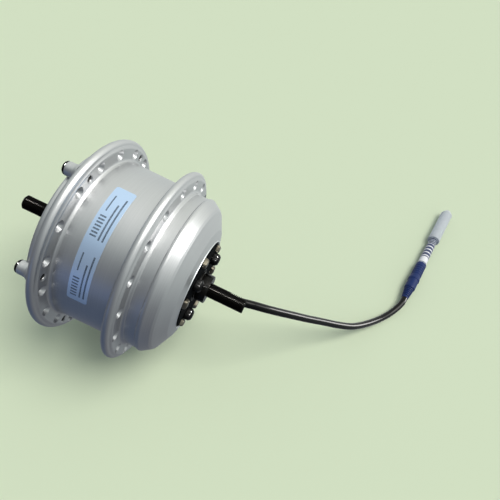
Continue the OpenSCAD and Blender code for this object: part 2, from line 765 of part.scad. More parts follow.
// Sweeps a round section along points, with rings square to the path
function unit(v) = v / norm(v);
function path_dir(p, i) = i == 0 ? unit(p[1] - p[0])
    : i == len(p) - 1 ? unit(p[i] - p[i - 1]) : unit(unit(p[i] - p[i - 1]) + unit(p[i + 1] - p[i]));
function ring_at(c, d, r, n) = let (s = unit(cross(d, [0, 0, 1])), t = cross(s, d))
    [for (k = [0 : n - 1]) c + r * (cos(k * 360 / n) * s + sin(k * 360 / n) * t)];

module sweep(path, r, n) {
    count = len(path);
    points = [for (i = [0 : count - 1]) each ring_at(path[i], path_dir(path, i), r, n)];
    sides = [for (i = [0 : count - 2]) for (k = [0 : n - 1])
        [i * n + k, i * n + (k + 1) % n, (i + 1) * n + (k + 1) % n, (i + 1) * n + k]];
    first = [for (k = [n - 1 : -1 : 0]) k];
    last = [for (k = [0 : n - 1]) (count - 1) * n + k];
    polyhedron(points = points, faces = concat(sides, [first], [last]));
}

// Points between the route's own points, on a smooth curve through them
function smooth_point(p, i, t) = let (
    a = p[max(i - 1, 0)], b = p[i], c = p[min(i + 1, len(p) - 1)], d = p[min(i + 2, len(p) - 1)])
    0.5 * (2 * b + (c - a) * t + (2 * a - 5 * b + 4 * c - d) * t * t + (3 * b - a - 3 * c + d) * t * t * t);
function smooth(p, k) = concat([for (i = [0 : len(p) - 2]) for (j = [0 : k - 1]) smooth_point(p, i, j / k)], [p[len(p) - 1]]);

module motor_cable() {
    color("black") sweep(smooth(cable_route, 2), cable_d / 2, 10);
}

// Puts what is drawn along X, from the end of the cable, where the plug lies
module plug_frame() {
    translate(plug_at) rotate([0, 0, plug_turn]) rotate([0, 90, 0]) children();
}

module plug_boot() {
    color("black") plug_frame() cylinder(d1 = cable_d + 1.4, d2 = plug_d - 1, h = boot_l);
}

module plug_body() {
    color("midnightblue") plug_frame() translate([0, 0, boot_l]) union() {
        cylinder(d = plug_d, h = body_l);
        translate([0, 0, 12]) cylinder(d = plug_d + 0.9, h = 3);
    }
}

module plug_sleeve() {
    color("black") plug_frame() translate([0, 0, boot_l + body_l]) cylinder(d = sleeve_d, h = sleeve_l);
}

module plug_tag() {
    tag_t = 0.3;
    color("white") plug_frame() translate([0, 0, boot_l + body_l + 2]) difference() {
        cylinder(d = sleeve_d + 2 * tag_t, h = tag_l);
        translate([0, 0, -1]) cylinder(d = sleeve_d, h = tag_l + 2);
    }
}

module plug_cap() {
    color("lightblue") plug_frame() translate([0, 0, boot_l + body_l + sleeve_l]) difference() {
        union() {
            translate([0, 0, -8]) cylinder(d = cap_d, h = cap_l - 4);
            translate([0, 0, cap_l - 12]) cylinder(d1 = cap_d, d2 = cap_d - 6, h = 6);
        }
        translate([0, 0, -9]) cylinder(d = sleeve_d + 2 * seat, h = 9);
    }
}

axle();
cable_side_collar();
cover_side_spacer();
cable_bearing_inner();
cable_bearing_balls();
cover_bearing_inner();
cover_bearing_balls();
rotor_bearing_inners();
rotor_bearing_balls();
stator_hub();
stator_key();
stator_core();
stator_insulators();
stator_coils();
hall_board();
hall_sensors();
motor_leads();
clutch_hub();
clutch_key();
clutch_rollers();
planet_carrier();
planet_pins();
planet_clips();
hub_shell();
end_cover();
cover_gasket();
cover_screws();
ring_gear();
cable_bearing_outer();
cover_bearing_outer();
cable_seal();
cover_seal();
lug_ring();
mount_disc();
mount_screws();
drum_label();
rotor_can();
rotor_magnets();
rotor_bearing_outers();
sun_gear();
planet_gear_a();
planet_gear_b();
planet_gear_c();
planet_bush_a();
planet_bush_b();
planet_bush_c();
cable_inner();
motor_cable();
plug_boot();
plug_body();
plug_sleeve();
plug_tag();
plug_cap();
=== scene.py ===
"""Front hub motor of an electric bicycle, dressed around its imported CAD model.

Every piece is built in the row frame: metres, +Y along the axle away from the cable, +Z up.
Sizes inside the classes are millimetres, and heights h are counted along Y from the hub's
middle plane, as on the drawing of such a hub.
"""
import json
import logging
import math
from collections.abc import Callable, Sequence
from dataclasses import dataclass
from enum import Enum

import bmesh
import bpy
from mathutils import Matrix, Vector

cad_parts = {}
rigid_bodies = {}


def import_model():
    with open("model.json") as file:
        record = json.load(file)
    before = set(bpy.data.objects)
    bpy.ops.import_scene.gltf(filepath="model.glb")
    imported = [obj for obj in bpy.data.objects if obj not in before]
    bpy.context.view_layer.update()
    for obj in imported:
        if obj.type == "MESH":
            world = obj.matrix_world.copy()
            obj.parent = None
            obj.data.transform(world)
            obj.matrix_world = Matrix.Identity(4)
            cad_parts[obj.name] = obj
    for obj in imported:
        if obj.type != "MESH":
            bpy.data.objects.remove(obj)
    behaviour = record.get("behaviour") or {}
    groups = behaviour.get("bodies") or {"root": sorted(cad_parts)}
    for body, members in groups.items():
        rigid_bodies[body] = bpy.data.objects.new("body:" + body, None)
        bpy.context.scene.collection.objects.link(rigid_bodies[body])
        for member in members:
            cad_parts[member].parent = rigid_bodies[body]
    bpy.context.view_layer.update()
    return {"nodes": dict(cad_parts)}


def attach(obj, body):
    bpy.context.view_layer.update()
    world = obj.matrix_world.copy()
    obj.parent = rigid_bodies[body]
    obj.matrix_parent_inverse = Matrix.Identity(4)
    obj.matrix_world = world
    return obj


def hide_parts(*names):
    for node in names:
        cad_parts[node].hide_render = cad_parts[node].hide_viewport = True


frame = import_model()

LOG = logging.getLogger("hub_motor")
MM = 0.001
# Y of the middle plane between the spoke flanges, and Z of the floor that they stand on, in millimetres
HUB_MIDDLE = 2.0
FLOOR_LEVEL = -67.35
# Blender's noise seldom leaves this part of 0 to 1, so patterns are stretched over it
NOISE_LOW, NOISE_HIGH = 0.3, 0.7
# Share of a finish's colour that its darkest grain keeps
GRAIN_SHADE = 0.9
Point = tuple[float, float]
Point3 = tuple[float, float, float]


class Body(Enum):
    """The moving bodies that dressed pieces ride on; the pieces inside ride on theirs already."""

    AXLE = "axle_unit"
    SHELL = "shell"


class Join(Enum):
    """How two closed solids are combined."""

    CUT = "DIFFERENCE"
    ADD = "UNION"


# Finishes


def linear(hex_colour: str) -> tuple[float, float, float, float]:
    """Turns an sRGB hex value into a linear colour.

    Args:
        hex_colour: Six hex digits, with or without a leading hash.

    Returns:
        Red, green, blue and an alpha of 1, for a shader socket.
    """
    digits = hex_colour.lstrip("#")
    parts = [int(digits[i:i + 2], 16) / 255 for i in (0, 2, 4)]
    red, green, blue = [p / 12.92 if p <= 0.04045 else ((p + 0.055) / 1.055) ** 2.4 for p in parts]
    return red, green, blue, 1.0


def add(tree: bpy.types.NodeTree, kind: str, links: dict | None = None, **settings: object) -> bpy.types.Node:
    """Adds one shader node with its settings and its incoming links.

    Args:
        tree: The material's node tree.
        kind: The node's type, without its ShaderNode prefix.
        links: Input names or indices, each with an output socket or a plain value.
        **settings: The node's own properties.

    Returns:
        The new node.
    """
    node = tree.nodes.new("ShaderNode" + kind)
    for name, value in settings.items():
        setattr(node, name, value)
    for name, value in (links or {}).items():
        if isinstance(value, bpy.types.NodeSocket):
            tree.links.new(value, node.inputs[name])
        else:
            node.inputs[name].default_value = value
    return node


def turned_marks(tree: bpy.types.NodeTree, pitch: float, wander: float = 0.15) -> bpy.types.NodeSocket:
    """Rings that a lathe tool leaves, the same all the way round the axle.

    Args:
        tree: The material's node tree.
        pitch: Distance between marks in millimetres.
        wander: Share of a slow change round the part, which breaks up perfect rings.

    Returns:
        A value from 0 to 1.
    """
    place = add(tree, "TexCoord").outputs["Object"]
    split = add(tree, "SeparateXYZ", {0: place})
    flat = add(tree, "CombineXYZ", {0: split.outputs[0], 2: split.outputs[2]})
    radius = add(tree, "VectorMath", {0: flat.outputs[0]}, operation="LENGTH")
    rings = add(tree, "CombineXYZ", {0: radius.outputs["Value"], 1: split.outputs[1]})
    fine = add(tree, "TexNoise", {"Vector": rings.outputs[0], "Scale": 1 / (pitch * MM), "Detail": 3.0})
    slow = add(tree, "TexNoise", {"Vector": place, "Scale": 1 / (9 * MM), "Detail": 2.0})
    mixed = add(tree, "Mix", {"Factor": wander, "A": fine.outputs[0], "B": slow.outputs[0]})
    return mixed.outputs[0]


@dataclass(frozen=True)
class Finish:
    """A surface as its maker would name it, with the numbers that its shader starts from.

    Attributes:
        name: The material's name.
        colour: sRGB hex value of its lightest grain.
        roughness: Its middle roughness.
        metallic: 1 for bare metal.
        coat: Weight of a clear lacquer.
        spread: How far the roughness strays either way.
        grain: Size of the grain in millimetres.
        relief: Depth of the grain in millimetres.
        shine: Specular level; metals keep 0.5.
    """

    name: str
    colour: str
    roughness: float
    metallic: float = 0.0
    coat: float = 0.0
    spread: float = 0.06
    grain: float = 1.2
    relief: float = 0.01
    shine: float = 0.5

    def material(self) -> bpy.types.Material:
        """Builds the material once and hands back the same one later.

        Returns:
            The material.
        """
        made = bpy.data.materials.get(self.name)
        if made:
            return made
        made = bpy.data.materials.new(self.name)
        made.use_nodes = True
        tree = made.node_tree
        shader = tree.nodes["Principled BSDF"]
        shader.inputs["Base Color"].default_value = linear(self.colour)
        shader.inputs["Metallic"].default_value = self.metallic
        shader.inputs["Roughness"].default_value = self.roughness
        shader.inputs["Coat Weight"].default_value = self.coat
        shader.inputs["Specular IOR Level"].default_value = self.shine
        made.diffuse_color = linear(self.colour)
        self.dress(tree, shader)
        return made

    def pattern(self, tree: bpy.types.NodeTree) -> bpy.types.NodeSocket:
        """The value from 0 to 1 that varies over the surface: here a fine even grain.

        Args:
            tree: The material's node tree.

        Returns:
            The value's socket.
        """
        place = add(tree, "TexCoord").outputs["Object"]
        grain = add(tree, "TexNoise", {"Vector": place, "Scale": 1 / (self.grain * MM), "Detail": 4.0})
        return grain.outputs[0]

    def dress(self, tree: bpy.types.NodeTree, shader: bpy.types.Node) -> None:
        """Drives colour, roughness and relief from the finish's pattern.

        Args:
            tree: The material's node tree.
            shader: Its principled shader.
        """
        value = self.pattern(tree)
        rough = add(tree, "MapRange", {"Value": value, "From Min": NOISE_LOW, "From Max": NOISE_HIGH,
                                       "To Min": max(0.02, self.roughness - self.spread),
                                       "To Max": self.roughness + self.spread})
        tree.links.new(rough.outputs[0], shader.inputs["Roughness"])
        base = linear(self.colour)
        darker = tuple(GRAIN_SHADE * c for c in base[:3]) + (1.0,)
        ramp = add(tree, "ValToRGB", {"Fac": value})
        ramp.color_ramp.elements[0].position = 0.25
        ramp.color_ramp.elements[0].color = darker
        ramp.color_ramp.elements[1].position = NOISE_HIGH
        ramp.color_ramp.elements[1].color = base
        tree.links.new(ramp.outputs[0], shader.inputs["Base Color"])
        bump = add(tree, "Bump", {"Height": value, "Strength": 0.35, "Distance": self.relief * MM})
        tree.links.new(bump.outputs[0], shader.inputs["Normal"])


@dataclass(frozen=True)
class Turned(Finish):
    """Metal cut on a lathe, whose tool marks run round the axle and stretch the highlights."""

    pitch: float = 0.35

    def pattern(self, tree: bpy.types.NodeTree) -> bpy.types.NodeSocket:
        """Rings at the tool's feed, as a value from 0 to 1."""
        return turned_marks(tree, self.pitch)


@dataclass(frozen=True)
class Layered(Finish):
    """A stack of sheets or turns of wire, seen as even lines across one direction."""

    step: float = 0.5
    along: int = 1
    line: str = "#202020"

    def dress(self, tree: bpy.types.NodeTree, shader: bpy.types.Node) -> None:
        """Paints a dark line between layers and rounds each layer; the line is the colour of the coat between
        sheets, and painted shade in the grooves between turns of wire.

        Args:
            tree: The material's node tree.
            shader: Its principled shader.
        """
        place = add(tree, "TexCoord").outputs["Object"]
        axis = add(tree, "SeparateXYZ", {0: place}).outputs[self.along]
        beat = add(tree, "Math", {0: axis, 1: self.step * MM}, operation="DIVIDE")
        part = add(tree, "Math", {0: beat.outputs[0]}, operation="FRACT")
        peak = add(tree, "Math", {0: part.outputs[0], 1: 0.5}, operation="SUBTRACT")
        away = add(tree, "Math", {0: peak.outputs[0]}, operation="ABSOLUTE")
        ramp = add(tree, "ValToRGB", {"Fac": away.outputs[0]})
        ramp.color_ramp.elements[0].position = 0.30
        ramp.color_ramp.elements[0].color = linear(self.colour)
        ramp.color_ramp.elements[1].position = 0.50
        ramp.color_ramp.elements[1].color = linear(self.line)
        tree.links.new(ramp.outputs[0], shader.inputs["Base Color"])
        bump = add(tree, "Bump", {"Height": away.outputs[0], "Strength": 0.6, "Distance": 0.1 * MM},
                   invert=True)
        tree.links.new(bump.outputs[0], shader.inputs["Normal"])


# Die-cast aluminium, turned all over and clear lacquered: a soft sheen with even, wide highlights.
# A lathe's feed is finer; its marks are drawn 0.4 mm apart, coarser than real, so that a trace of them shows.
SHELL_ALUMINIUM = Turned("turned_cast_aluminium", "#BDBEC0", 0.40, 1.0, coat=0.1, spread=0.04, pitch=0.4,
                         relief=0.004)
# The same alloy and lacquer on the separately turned cover: a shade lighter, its marks drawn 0.5 mm apart
COVER_ALUMINIUM = Turned("turned_cover_aluminium", "#C2C3C4", 0.40, 1.0, coat=0.1, spread=0.04, pitch=0.5,
                         relief=0.004)
# Machined aluminium without lacquer: duller, a little darker, with plainer tool marks
PLAIN_ALUMINIUM = Turned("machined_aluminium", "#B9BABC", 0.38, 1.0, pitch=0.6)
# The same alloy on a thin ring laid over the recess's lip: a painted highlight, lighter than the faces beside
# it and lit by a lamp of its own, that draws the bright line round the recess
PAINTED_HIGHLIGHT_METAL = Turned("painted_highlight_aluminium", "#CFD2D4", 0.42, 1.0, pitch=0.5)
# Chemically blackened steel: dark with a thin oily gloss
BLACK_OXIDE = Finish("black_oxide_steel", "#050403", 0.24, shine=0.14, grain=0.5, relief=0.004)
# Black alloy-steel screws, tumbled smooth, with small hard highlights
BLACK_SCREW = Finish("blackened_screw_steel", "#030304", 0.18, shine=0.12, grain=0.4, relief=0.003)
# Steel disc with an electro-coated black skin: the darkest face of the motor, almost without gloss
BLACK_COAT = Finish("electrocoated_steel", "#030508", 0.8, shine=0.03, grain=0.7, relief=0.006)
# Steel lugs with zinc plate and a yellowish chromate: warm grey, with small soft highlights
ZINC_PLATE = Finish("chromated_zinc_plate", "#6C675C", 0.34, 1.0, grain=1.6, relief=0.006)
# Bright steel bar, turned: a clean ring of light on each face
BRIGHT_STEEL = Turned("bright_turned_steel", "#B7B8BA", 0.26, 1.0, pitch=0.25)
# Through-hardened and polished bearing steel: near to a mirror
BEARING_STEEL = Turned("polished_bearing_steel", "#C9CACC", 0.14, 1.0, pitch=0.12, relief=0.003)
# Ground tooth flanks, grey and even
GEAR_STEEL = Finish("ground_gear_steel", "#9A9C9F", 0.32, 1.0, grain=0.6, relief=0.004)
# Drawn key steel, plain: matte, a little yellow
KEY_STEEL = Finish("drawn_key_steel", "#A39C8A", 0.40, 1.0, grain=0.5)
# Drawn steel can with a passivated zinc skin: bluish grey with a soft sheen
ROTOR_STEEL = Turned("zinc_plated_can", "#8F959C", 0.35, 1.0, pitch=0.6)
# Stamped electrical sheets: 0.5 mm layers with a dark insulating coat between them
ELECTRICAL_STEEL = Layered("stacked_electrical_sheet", "#70757A", 0.45, 0.85, step=0.5)
# Enamelled copper wire of 0.8 mm, laid turn beside turn: glossy brown-red, with painted shade as dark lines
# in the grooves between turns
COPPER_WIRE = Layered("enamelled_copper_wire", "#B4652F", 0.28, 0.7, coat=0.5, step=0.8, line="#4A220E")
# Sintered magnets with a dark nickel plate: smooth grey with hard highlights
MAGNET = Finish("plated_magnet", "#4A4C50", 0.28, 0.9, grain=0.8)
# Oil-filled sintered bronze, matte and porous
SINTERED_BRONZE = Finish("sintered_bronze", "#8E6B3C", 0.48, 0.9, grain=0.35, relief=0.02)
# Moulded nylon gears, slightly glossy ivory
NYLON = Finish("moulded_nylon", "#DDD3B4", 0.42, grain=1.4)
# Glass-filled nylon end plates, off-white with a faint grain
INSULATOR = Finish("glass_filled_nylon", "#E2DECF", 0.55, grain=0.7, relief=0.02)
# Glass-fibre circuit board under green lacquer: even and half glossy
BOARD = Finish("lacquered_board", "#1F6B3A", 0.30, coat=0.3, grain=1.0)
# Moulded epoxy sensor bodies: black and dull
SENSOR_PLASTIC = Finish("moulded_epoxy", "#17181A", 0.45, grain=0.5)
# Silicone insulation of the motor leads: soft yellow with no hard highlight
LEAD_SILICONE = Finish("silicone_insulation", "#D0A21F", 0.5, grain=0.8)
# Nitrile rubber of seals and gasket: almost no shine
NITRILE = Finish("nitrile_rubber", "#191919", 0.62, grain=0.6, relief=0.02)
# Extruded soft PVC jacket: black with a high gloss, which draws one thin streak along the cable
CABLE_JACKET = Finish("glossy_pvc_jacket", "#030305", 0.16, shine=0.16, spread=0.03, grain=6.0, relief=0.02)
# Moulded PVC of boot and plug: dark blue and half glossy
PLUG_PLASTIC = Finish("moulded_plug_pvc", "#0F2A63", 0.4, shine=0.2, spread=0.05, grain=2.0, relief=0.02)


def dress_node(name: str, finish: Finish) -> None:
    """Puts a finish on a CAD node that stays as it is.

    Args:
        name: The node.
        finish: Its surface.
    """
    mesh = frame["nodes"][name].data
    mesh.materials.clear()
    mesh.materials.append(finish.material())


# Shapes


@dataclass(frozen=True)
class Corner:
    """One corner of a turned outline: radius, height and the radius of its rounding."""

    r: float
    h: float
    fillet: float = 0.0


def rounded(corners: Sequence[Corner], steps: int = 4) -> list[Point]:
    """Rounds the corners of a closed outline.

    Args:
        corners: The outline's corners, in order.
        steps: Lines in each rounding.

    Returns:
        The points of the rounded outline.
    """
    points: list[Point] = []
    count = len(corners)
    for i, corner in enumerate(corners):
        here = Vector((corner.r, corner.h))
        to_last = Vector((corners[i - 1].r, corners[i - 1].h)) - here
        to_next = Vector((corners[(i + 1) % count].r, corners[(i + 1) % count].h)) - here
        if corner.fillet <= 0 or min(to_last.length, to_next.length) < 1e-6:
            points.append((corner.r, corner.h))
            continue
        turn = to_last.angle(to_next)
        reach = min(corner.fillet / max(math.tan(turn / 2), 1e-3), 0.45 * to_last.length,
                    0.45 * to_next.length)
        start, end = here + to_last.normalized() * reach, here + to_next.normalized() * reach
        for k in range(steps + 1):
            t = k / steps
            p = start * (1 - t) ** 2 + here * 2 * t * (1 - t) + end * t * t
            points.append((p.x, p.y))
    return points


def finished(name: str, data: bmesh.types.BMesh, smooth: float = 32.0) -> bpy.types.Object:
    """Turns a working mesh into an object with clean outward faces.

    Args:
        name: The piece's name.
        data: The working mesh, which is freed.
        smooth: Faces that meet at less than this angle in degrees shade as one surface.

    Returns:
        The new object, in the scene.
    """
    bmesh.ops.remove_doubles(data, verts=data.verts, dist=2e-7)
    bmesh.ops.recalc_face_normals(data, faces=data.faces)
    mesh = bpy.data.meshes.new(name)
    data.to_mesh(mesh)
    data.free()
    piece = bpy.data.objects.new(name, mesh)
    bpy.context.scene.collection.objects.link(piece)
    shade(piece, smooth)
    return piece


def shade(piece: bpy.types.Object, smooth: float = 32.0) -> None:
    """Shades a mesh smoothly, apart from its sharp edges.

    Args:
        piece: The mesh object.
        smooth: Edges that turn by more than this angle in degrees stay sharp.
    """
    mesh = piece.data
    mesh.polygons.foreach_set("use_smooth", [True] * len(mesh.polygons))
    mesh.set_sharp_from_angle(angle=math.radians(smooth))


def spin(name: str, outline: Sequence[Point], segments: int = 192,
         centre: Point = (0.0, 0.0)) -> bpy.types.Object:
    """Turns a closed outline round a line parallel to the axle.

    Args:
        name: The piece's name.
        outline: Radii and heights in millimetres.
        segments: Steps of the full turn.
        centre: Where the line lies, in X and Z, in millimetres.

    Returns:
        The turned solid.
    """
    data = bmesh.new()
    rings = []
    for k in range(segments):
        c, s = math.cos(2 * math.pi * k / segments), math.sin(2 * math.pi * k / segments)
        rings.append([data.verts.new(((centre[0] + r * c) * MM, (h + HUB_MIDDLE) * MM,
                                      (centre[1] + r * s) * MM)) for r, h in outline])
    count = len(outline)
    for k in range(segments):
        this, after = rings[k], rings[(k + 1) % segments]
        for i in range(count):
            j = (i + 1) % count
            if outline[i][0] < 1e-6 and outline[j][0] < 1e-6:
                continue
            corners = [this[i], this[j], after[j], after[i]]
            if outline[i][0] < 1e-6:
                corners = [this[i], this[j], after[j]]
            elif outline[j][0] < 1e-6:
                corners = [this[i], this[j], after[i]]
            data.faces.new(corners)
    return finished(name, data)


def prism(name: str, outline: Sequence[Point], low: float, high: float,
          place: Callable[[float, float, float], Point3]) -> bpy.types.Object:
    """Raises a flat outline into a solid.

    Args:
        name: The piece's name.
        outline: Corners in the piece's own plane, in millimetres.
        low: Lower height in millimetres.
        high: Upper height in millimetres.
        place: Turns the outline's two values and a height into a place in the row frame.

    Returns:
        The solid.
    """
    data = bmesh.new()
    ends = [[data.verts.new(Vector(place(a, b, h)) * MM) for a, b in outline] for h in (low, high)]
    count = len(outline)
    for i in range(count):
        j = (i + 1) % count
        data.faces.new([ends[0][i], ends[0][j], ends[1][j], ends[1][i]])
    for end in ends:
        data.faces.new(end)
    return finished(name, data)


def about(angle: float, radius: float) -> Point:
    """Where a point on a circle round the axle lies, in X and Z.

    Args:
        angle: Degrees from X, growing towards -Z.
        radius: Millimetres.

    Returns:
        X and Z in millimetres.
    """
    return radius * math.cos(math.radians(angle)), -radius * math.sin(math.radians(angle))


def local(angle: float, radius: float) -> Callable[[float, float, float], Point3]:
    """A frame on a circle round the axle: first value outwards, second value round, third along the axle.

    Args:
        angle: The frame's place on the circle, in degrees.
        radius: The circle's radius in millimetres.

    Returns:
        A function from a place in the frame to the row frame.
    """
    out, turn = about(angle, 1.0), about(angle + 90, 1.0)

    def place(a: float, b: float, h: float) -> Point3:
        """Gives a place in the row frame for a place in this frame, in millimetres."""
        return (out[0] * (radius + a) + turn[0] * b, h + HUB_MIDDLE, out[1] * (radius + a) + turn[1] * b)

    return place


def joined(name: str, pieces: Sequence[bpy.types.Object]) -> bpy.types.Object:
    """Puts several separate solids in one object.

    Args:
        name: The new piece's name.
        pieces: The solids, which are deleted.

    Returns:
        The new piece.
    """
    data = bmesh.new()
    for piece in pieces:
        data.from_mesh(piece.data)
        remove(piece)
    return finished(name, data)


def remove(piece: bpy.types.Object) -> None:
    """Deletes a working object and its mesh.

    Args:
        piece: The object.
    """
    mesh = piece.data
    bpy.data.objects.remove(piece)
    bpy.data.meshes.remove(mesh)


def applied(piece: bpy.types.Object) -> bpy.types.Object:
    """Makes a piece's modifiers part of its mesh.

    Args:
        piece: The piece.

    Returns:
        The piece.
    """
    graph = bpy.context.evaluated_depsgraph_get()
    graph.update()
    shown = piece.evaluated_get(graph)
    mesh = bpy.data.meshes.new_from_object(shown, preserve_all_data_layers=True, depsgraph=graph)
    old = piece.data
    piece.modifiers.clear()
    piece.data = mesh
    mesh.name = piece.name
    bpy.data.meshes.remove(old)
    return piece


def combine(piece: bpy.types.Object, tools: Sequence[bpy.types.Object], how: Join,
            smooth: float = 32.0) -> bpy.types.Object:
    """Cuts closed solids out of a piece, or adds them to it, and deletes them.

    Args:
        piece: The solid that stays.
        tools: Solids that don't touch each other.
        how: Whether they are cut or added.
        smooth: Shading angle of the result in degrees.

    Returns:
        The piece.
    """
    tool = joined(piece.name + "_tool", tools)
    step = piece.modifiers.new("combine", "BOOLEAN")
    step.operation = how.value
    step.object = tool
    step.solver = "EXACT"
    applied(piece)
    remove(tool)
    shade(piece, smooth)
    return piece


def eased(piece: bpy.types.Object, width: float, angle: float = 40.0, segments: int = 2) -> bpy.types.Object:
    """Breaks a piece's sharp edges by a small radius, as handling and tumbling do.

    Args:
        piece: The solid.
        width: Size of the break in millimetres.
        angle: Edges that turn by more than this angle in degrees are broken.
        segments: Faces across the break.

    Returns:
        The piece.
    """
    step = piece.modifiers.new("eased", "BEVEL")
    step.width = width * MM
    step.segments = segments
    step.limit_method = "ANGLE"
    step.angle_limit = math.radians(angle)
    step.use_clamp_overlap = True
    step.miter_outer = "MITER_ARC"
    applied(piece)
    shade(piece, 38.0)
    weigh = piece.modifiers.new("even", "WEIGHTED_NORMAL")
    weigh.keep_sharp = True
    weigh.weight = 60
    applied(piece)
    return piece


def settle(piece: bpy.types.Object, body: Body, finish: Finish, slot: str,
           *stands_for: str) -> bpy.types.Object:
    """Gives a finished piece its surface, its body and the CAD nodes that it stands for.

    Args:
        piece: The piece.
        body: What it moves with.
        finish: Its surface.
        slot: The record's material slot; not used.
        *stands_for: CAD nodes that it replaces.

    Returns:
        The piece.
    """
    piece.data.materials.clear()
    piece.data.materials.append(finish.material())
    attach(piece, body.value)
    if stands_for:
        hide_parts(*stands_for)
    LOG.info("%s rides on %s", piece.name, body.value)
    return piece


# The turning shell


@dataclass
class ShellCasting:
    """The silver casting: drum, both spoke flanges and the cable-end wall with its recess.

    The suffixes _r and _h are a radius and a height in millimetres; _first is the angle of the first of a
    circle of alike features, in degrees. The bead is the flange's round rim, an arc from bead_start on over
    bead_sweep degrees. row_high and row_low are the heights of the two spoke faces.
    """

    flange_r: float = 67.35
    bead_r: float = 2.5
    bead_start: float = 118.4
    bead_sweep: float = 203.8
    drum_r: float = 55.0
    row_high: float = 23.15
    row_low: float = -23.15
    rim_set: float = 3.6
    hole_circle_r: float = 60.0
    hole_count: int = 18
    hole_r: float = 1.5
    sink_r: float = 3.6
    first_high: float = 15.8
    first_low: float = 5.9
    screw_first: float = 25.8
    screw_count: int = 6
    screw_r: float = 2.0
    lip_r: float = 31.4
    edge_out: float = 0.95
    edge_h: float = -48.62
    edge_half: float = 0.42

    def rim(self, row: float) -> list[Corner]:
        """Outline of one flange, from its back face round the rim to the drum below its spoke face.

        Args:
            row: Height of the flange's row of spoke holes.

        Returns:
            The corners, in order.
        """
        bead, steps = self.bead_r, 24
        top = self.flange_r - bead
        middle = row + self.rim_set
        turns = [math.radians(self.bead_start - self.bead_sweep * k / steps) for k in range(steps + 1)]
        arc = [Corner(top + bead * math.cos(t), middle + bead * math.sin(t)) for t in turns]
        arc[0] = Corner(arc[0].r, arc[0].h, 0.25)
        d = self.drum_r
        return arc + [Corner(top - 0.9, row + 0.3, 0.4), Corner(top - 1.7, row, 0.6),
                      Corner(d + 1.8, row, 0.8), Corner(d + 0.9, row - 0.3, 0.8),
                      Corner(d + 0.3, row - 1, 0.8), Corner(d, row - 2, 0.8)]

    def outline(self) -> list[Point]:
        """The closed section, outside and inside.

        Returns:
            The points of the section.
        """
        d, back = self.drum_r, self.row_low + self.rim_set + 2.2
        outside = [Corner(51.5, 28.95), *self.rim(self.row_high), Corner(d, back + 2, 0.8),
                   Corner(d + 0.6, back + 0.5, 0.8), Corner(d + 1.8, back, 0.8), *self.rim(self.row_low),
                   Corner(54.7, self.row_low - 2.3, 0.2), Corner(54.7, -32.4, 0.4), Corner(55.3, -32.9, 0.3),
                   Corner(55.5, -34, 0.6), Corner(55.2, -35.2, 0.6), Corner(54.4, -36.4, 0.5),
                   Corner(51.8, -40.4, 0.9), Corner(50.4, -41.6, 0.9), Corner(39.7, -46.9, 1.0),
                   Corner(self.lip_r + 1.2, -48.7, 0.15), Corner(self.lip_r + 0.7, -48.7, 0.1),
                   Corner(self.lip_r, -48.0, 0.1), Corner(self.lip_r, -45.7, 0.2), Corner(12, -45.7, 0.2),
                   Corner(12, -44), Corner(14, -44), Corner(14, -38.5), Corner(28, -38.5), Corner(28, -42.2),
                   Corner(37, -42.2), Corner(47, -38.5), Corner(50, -34), Corner(50, 13), Corner(51.5, 13)]
        return rounded(outside)

    def spoke_drill(self, name: str, row: float, angle: float) -> bpy.types.Object:
        """The shape of one drilled and countersunk spoke hole.

        Args:
            name: Name of the working solid.
            row: Height of the spoke face.
            angle: Place on the hole circle in degrees.

        Returns:
            The drill, as a solid.
        """
        r, sink = self.hole_r, self.sink_r
        depth = sink - r
        outline = [Corner(0, row - 1), Corner(sink + 1, row - 1), Corner(r, row + depth, 0.5),
                   Corner(r, row + 9), Corner(0, row + 9)]
        return spin(name, rounded(outline), 24, about(angle, self.hole_circle_r))

    def build(self) -> list[bpy.types.Object]:
        """Turns the casting and drills it.

        Returns:
            The casting and the thin ring of painted highlight round the mouth of its recess.
        """
        piece = spin("shell_casting", self.outline(), 288)
        drills = []
        for row, first in ((self.row_high, self.first_high), (self.row_low, self.first_low)):
            drills += [self.spoke_drill("drill", row, first + 360 / self.hole_count * k)
                       for k in range(self.hole_count)]
        for k in range(self.screw_count):
            place = about(self.screw_first + 360 / self.screw_count * k, self.hole_circle_r)
            mouth = self.screw_r + 1.2
            tap = [(0, self.row_high - 2), (mouth, self.row_high - 2), (mouth, self.row_high - 0.3),
                   (self.screw_r, self.row_high + 0.5), (self.screw_r, 30), (0, 30)]
            drills.append(spin("tap", tap, 24, place))
        combine(piece, drills, Join.CUT, 30.0)
        settle(piece, Body.SHELL, SHELL_ALUMINIUM, "shell_metal", "hub_shell")
        return [piece, self.lip_highlight()]

    def lip_highlight(self) -> bpy.types.Object:
        """A thin ring laid over the lip at the mouth of the recess, lighter than the casting: a painted
        highlight that draws the bright line round it.

        Returns:
            The painted highlight, as a thin ring.
        """
        middle, h, half, sides = self.lip_r + self.edge_out, self.edge_h, self.edge_half, 12
        turns = [math.radians(360 / sides * k) for k in range(sides)]
        ring = [(middle + half * math.cos(t), h + half * math.sin(t)) for t in turns]
        return settle(spin("recess_painted_highlight", ring, 192), Body.SHELL, PAINTED_HIGHLIGHT_METAL, "shell_metal")


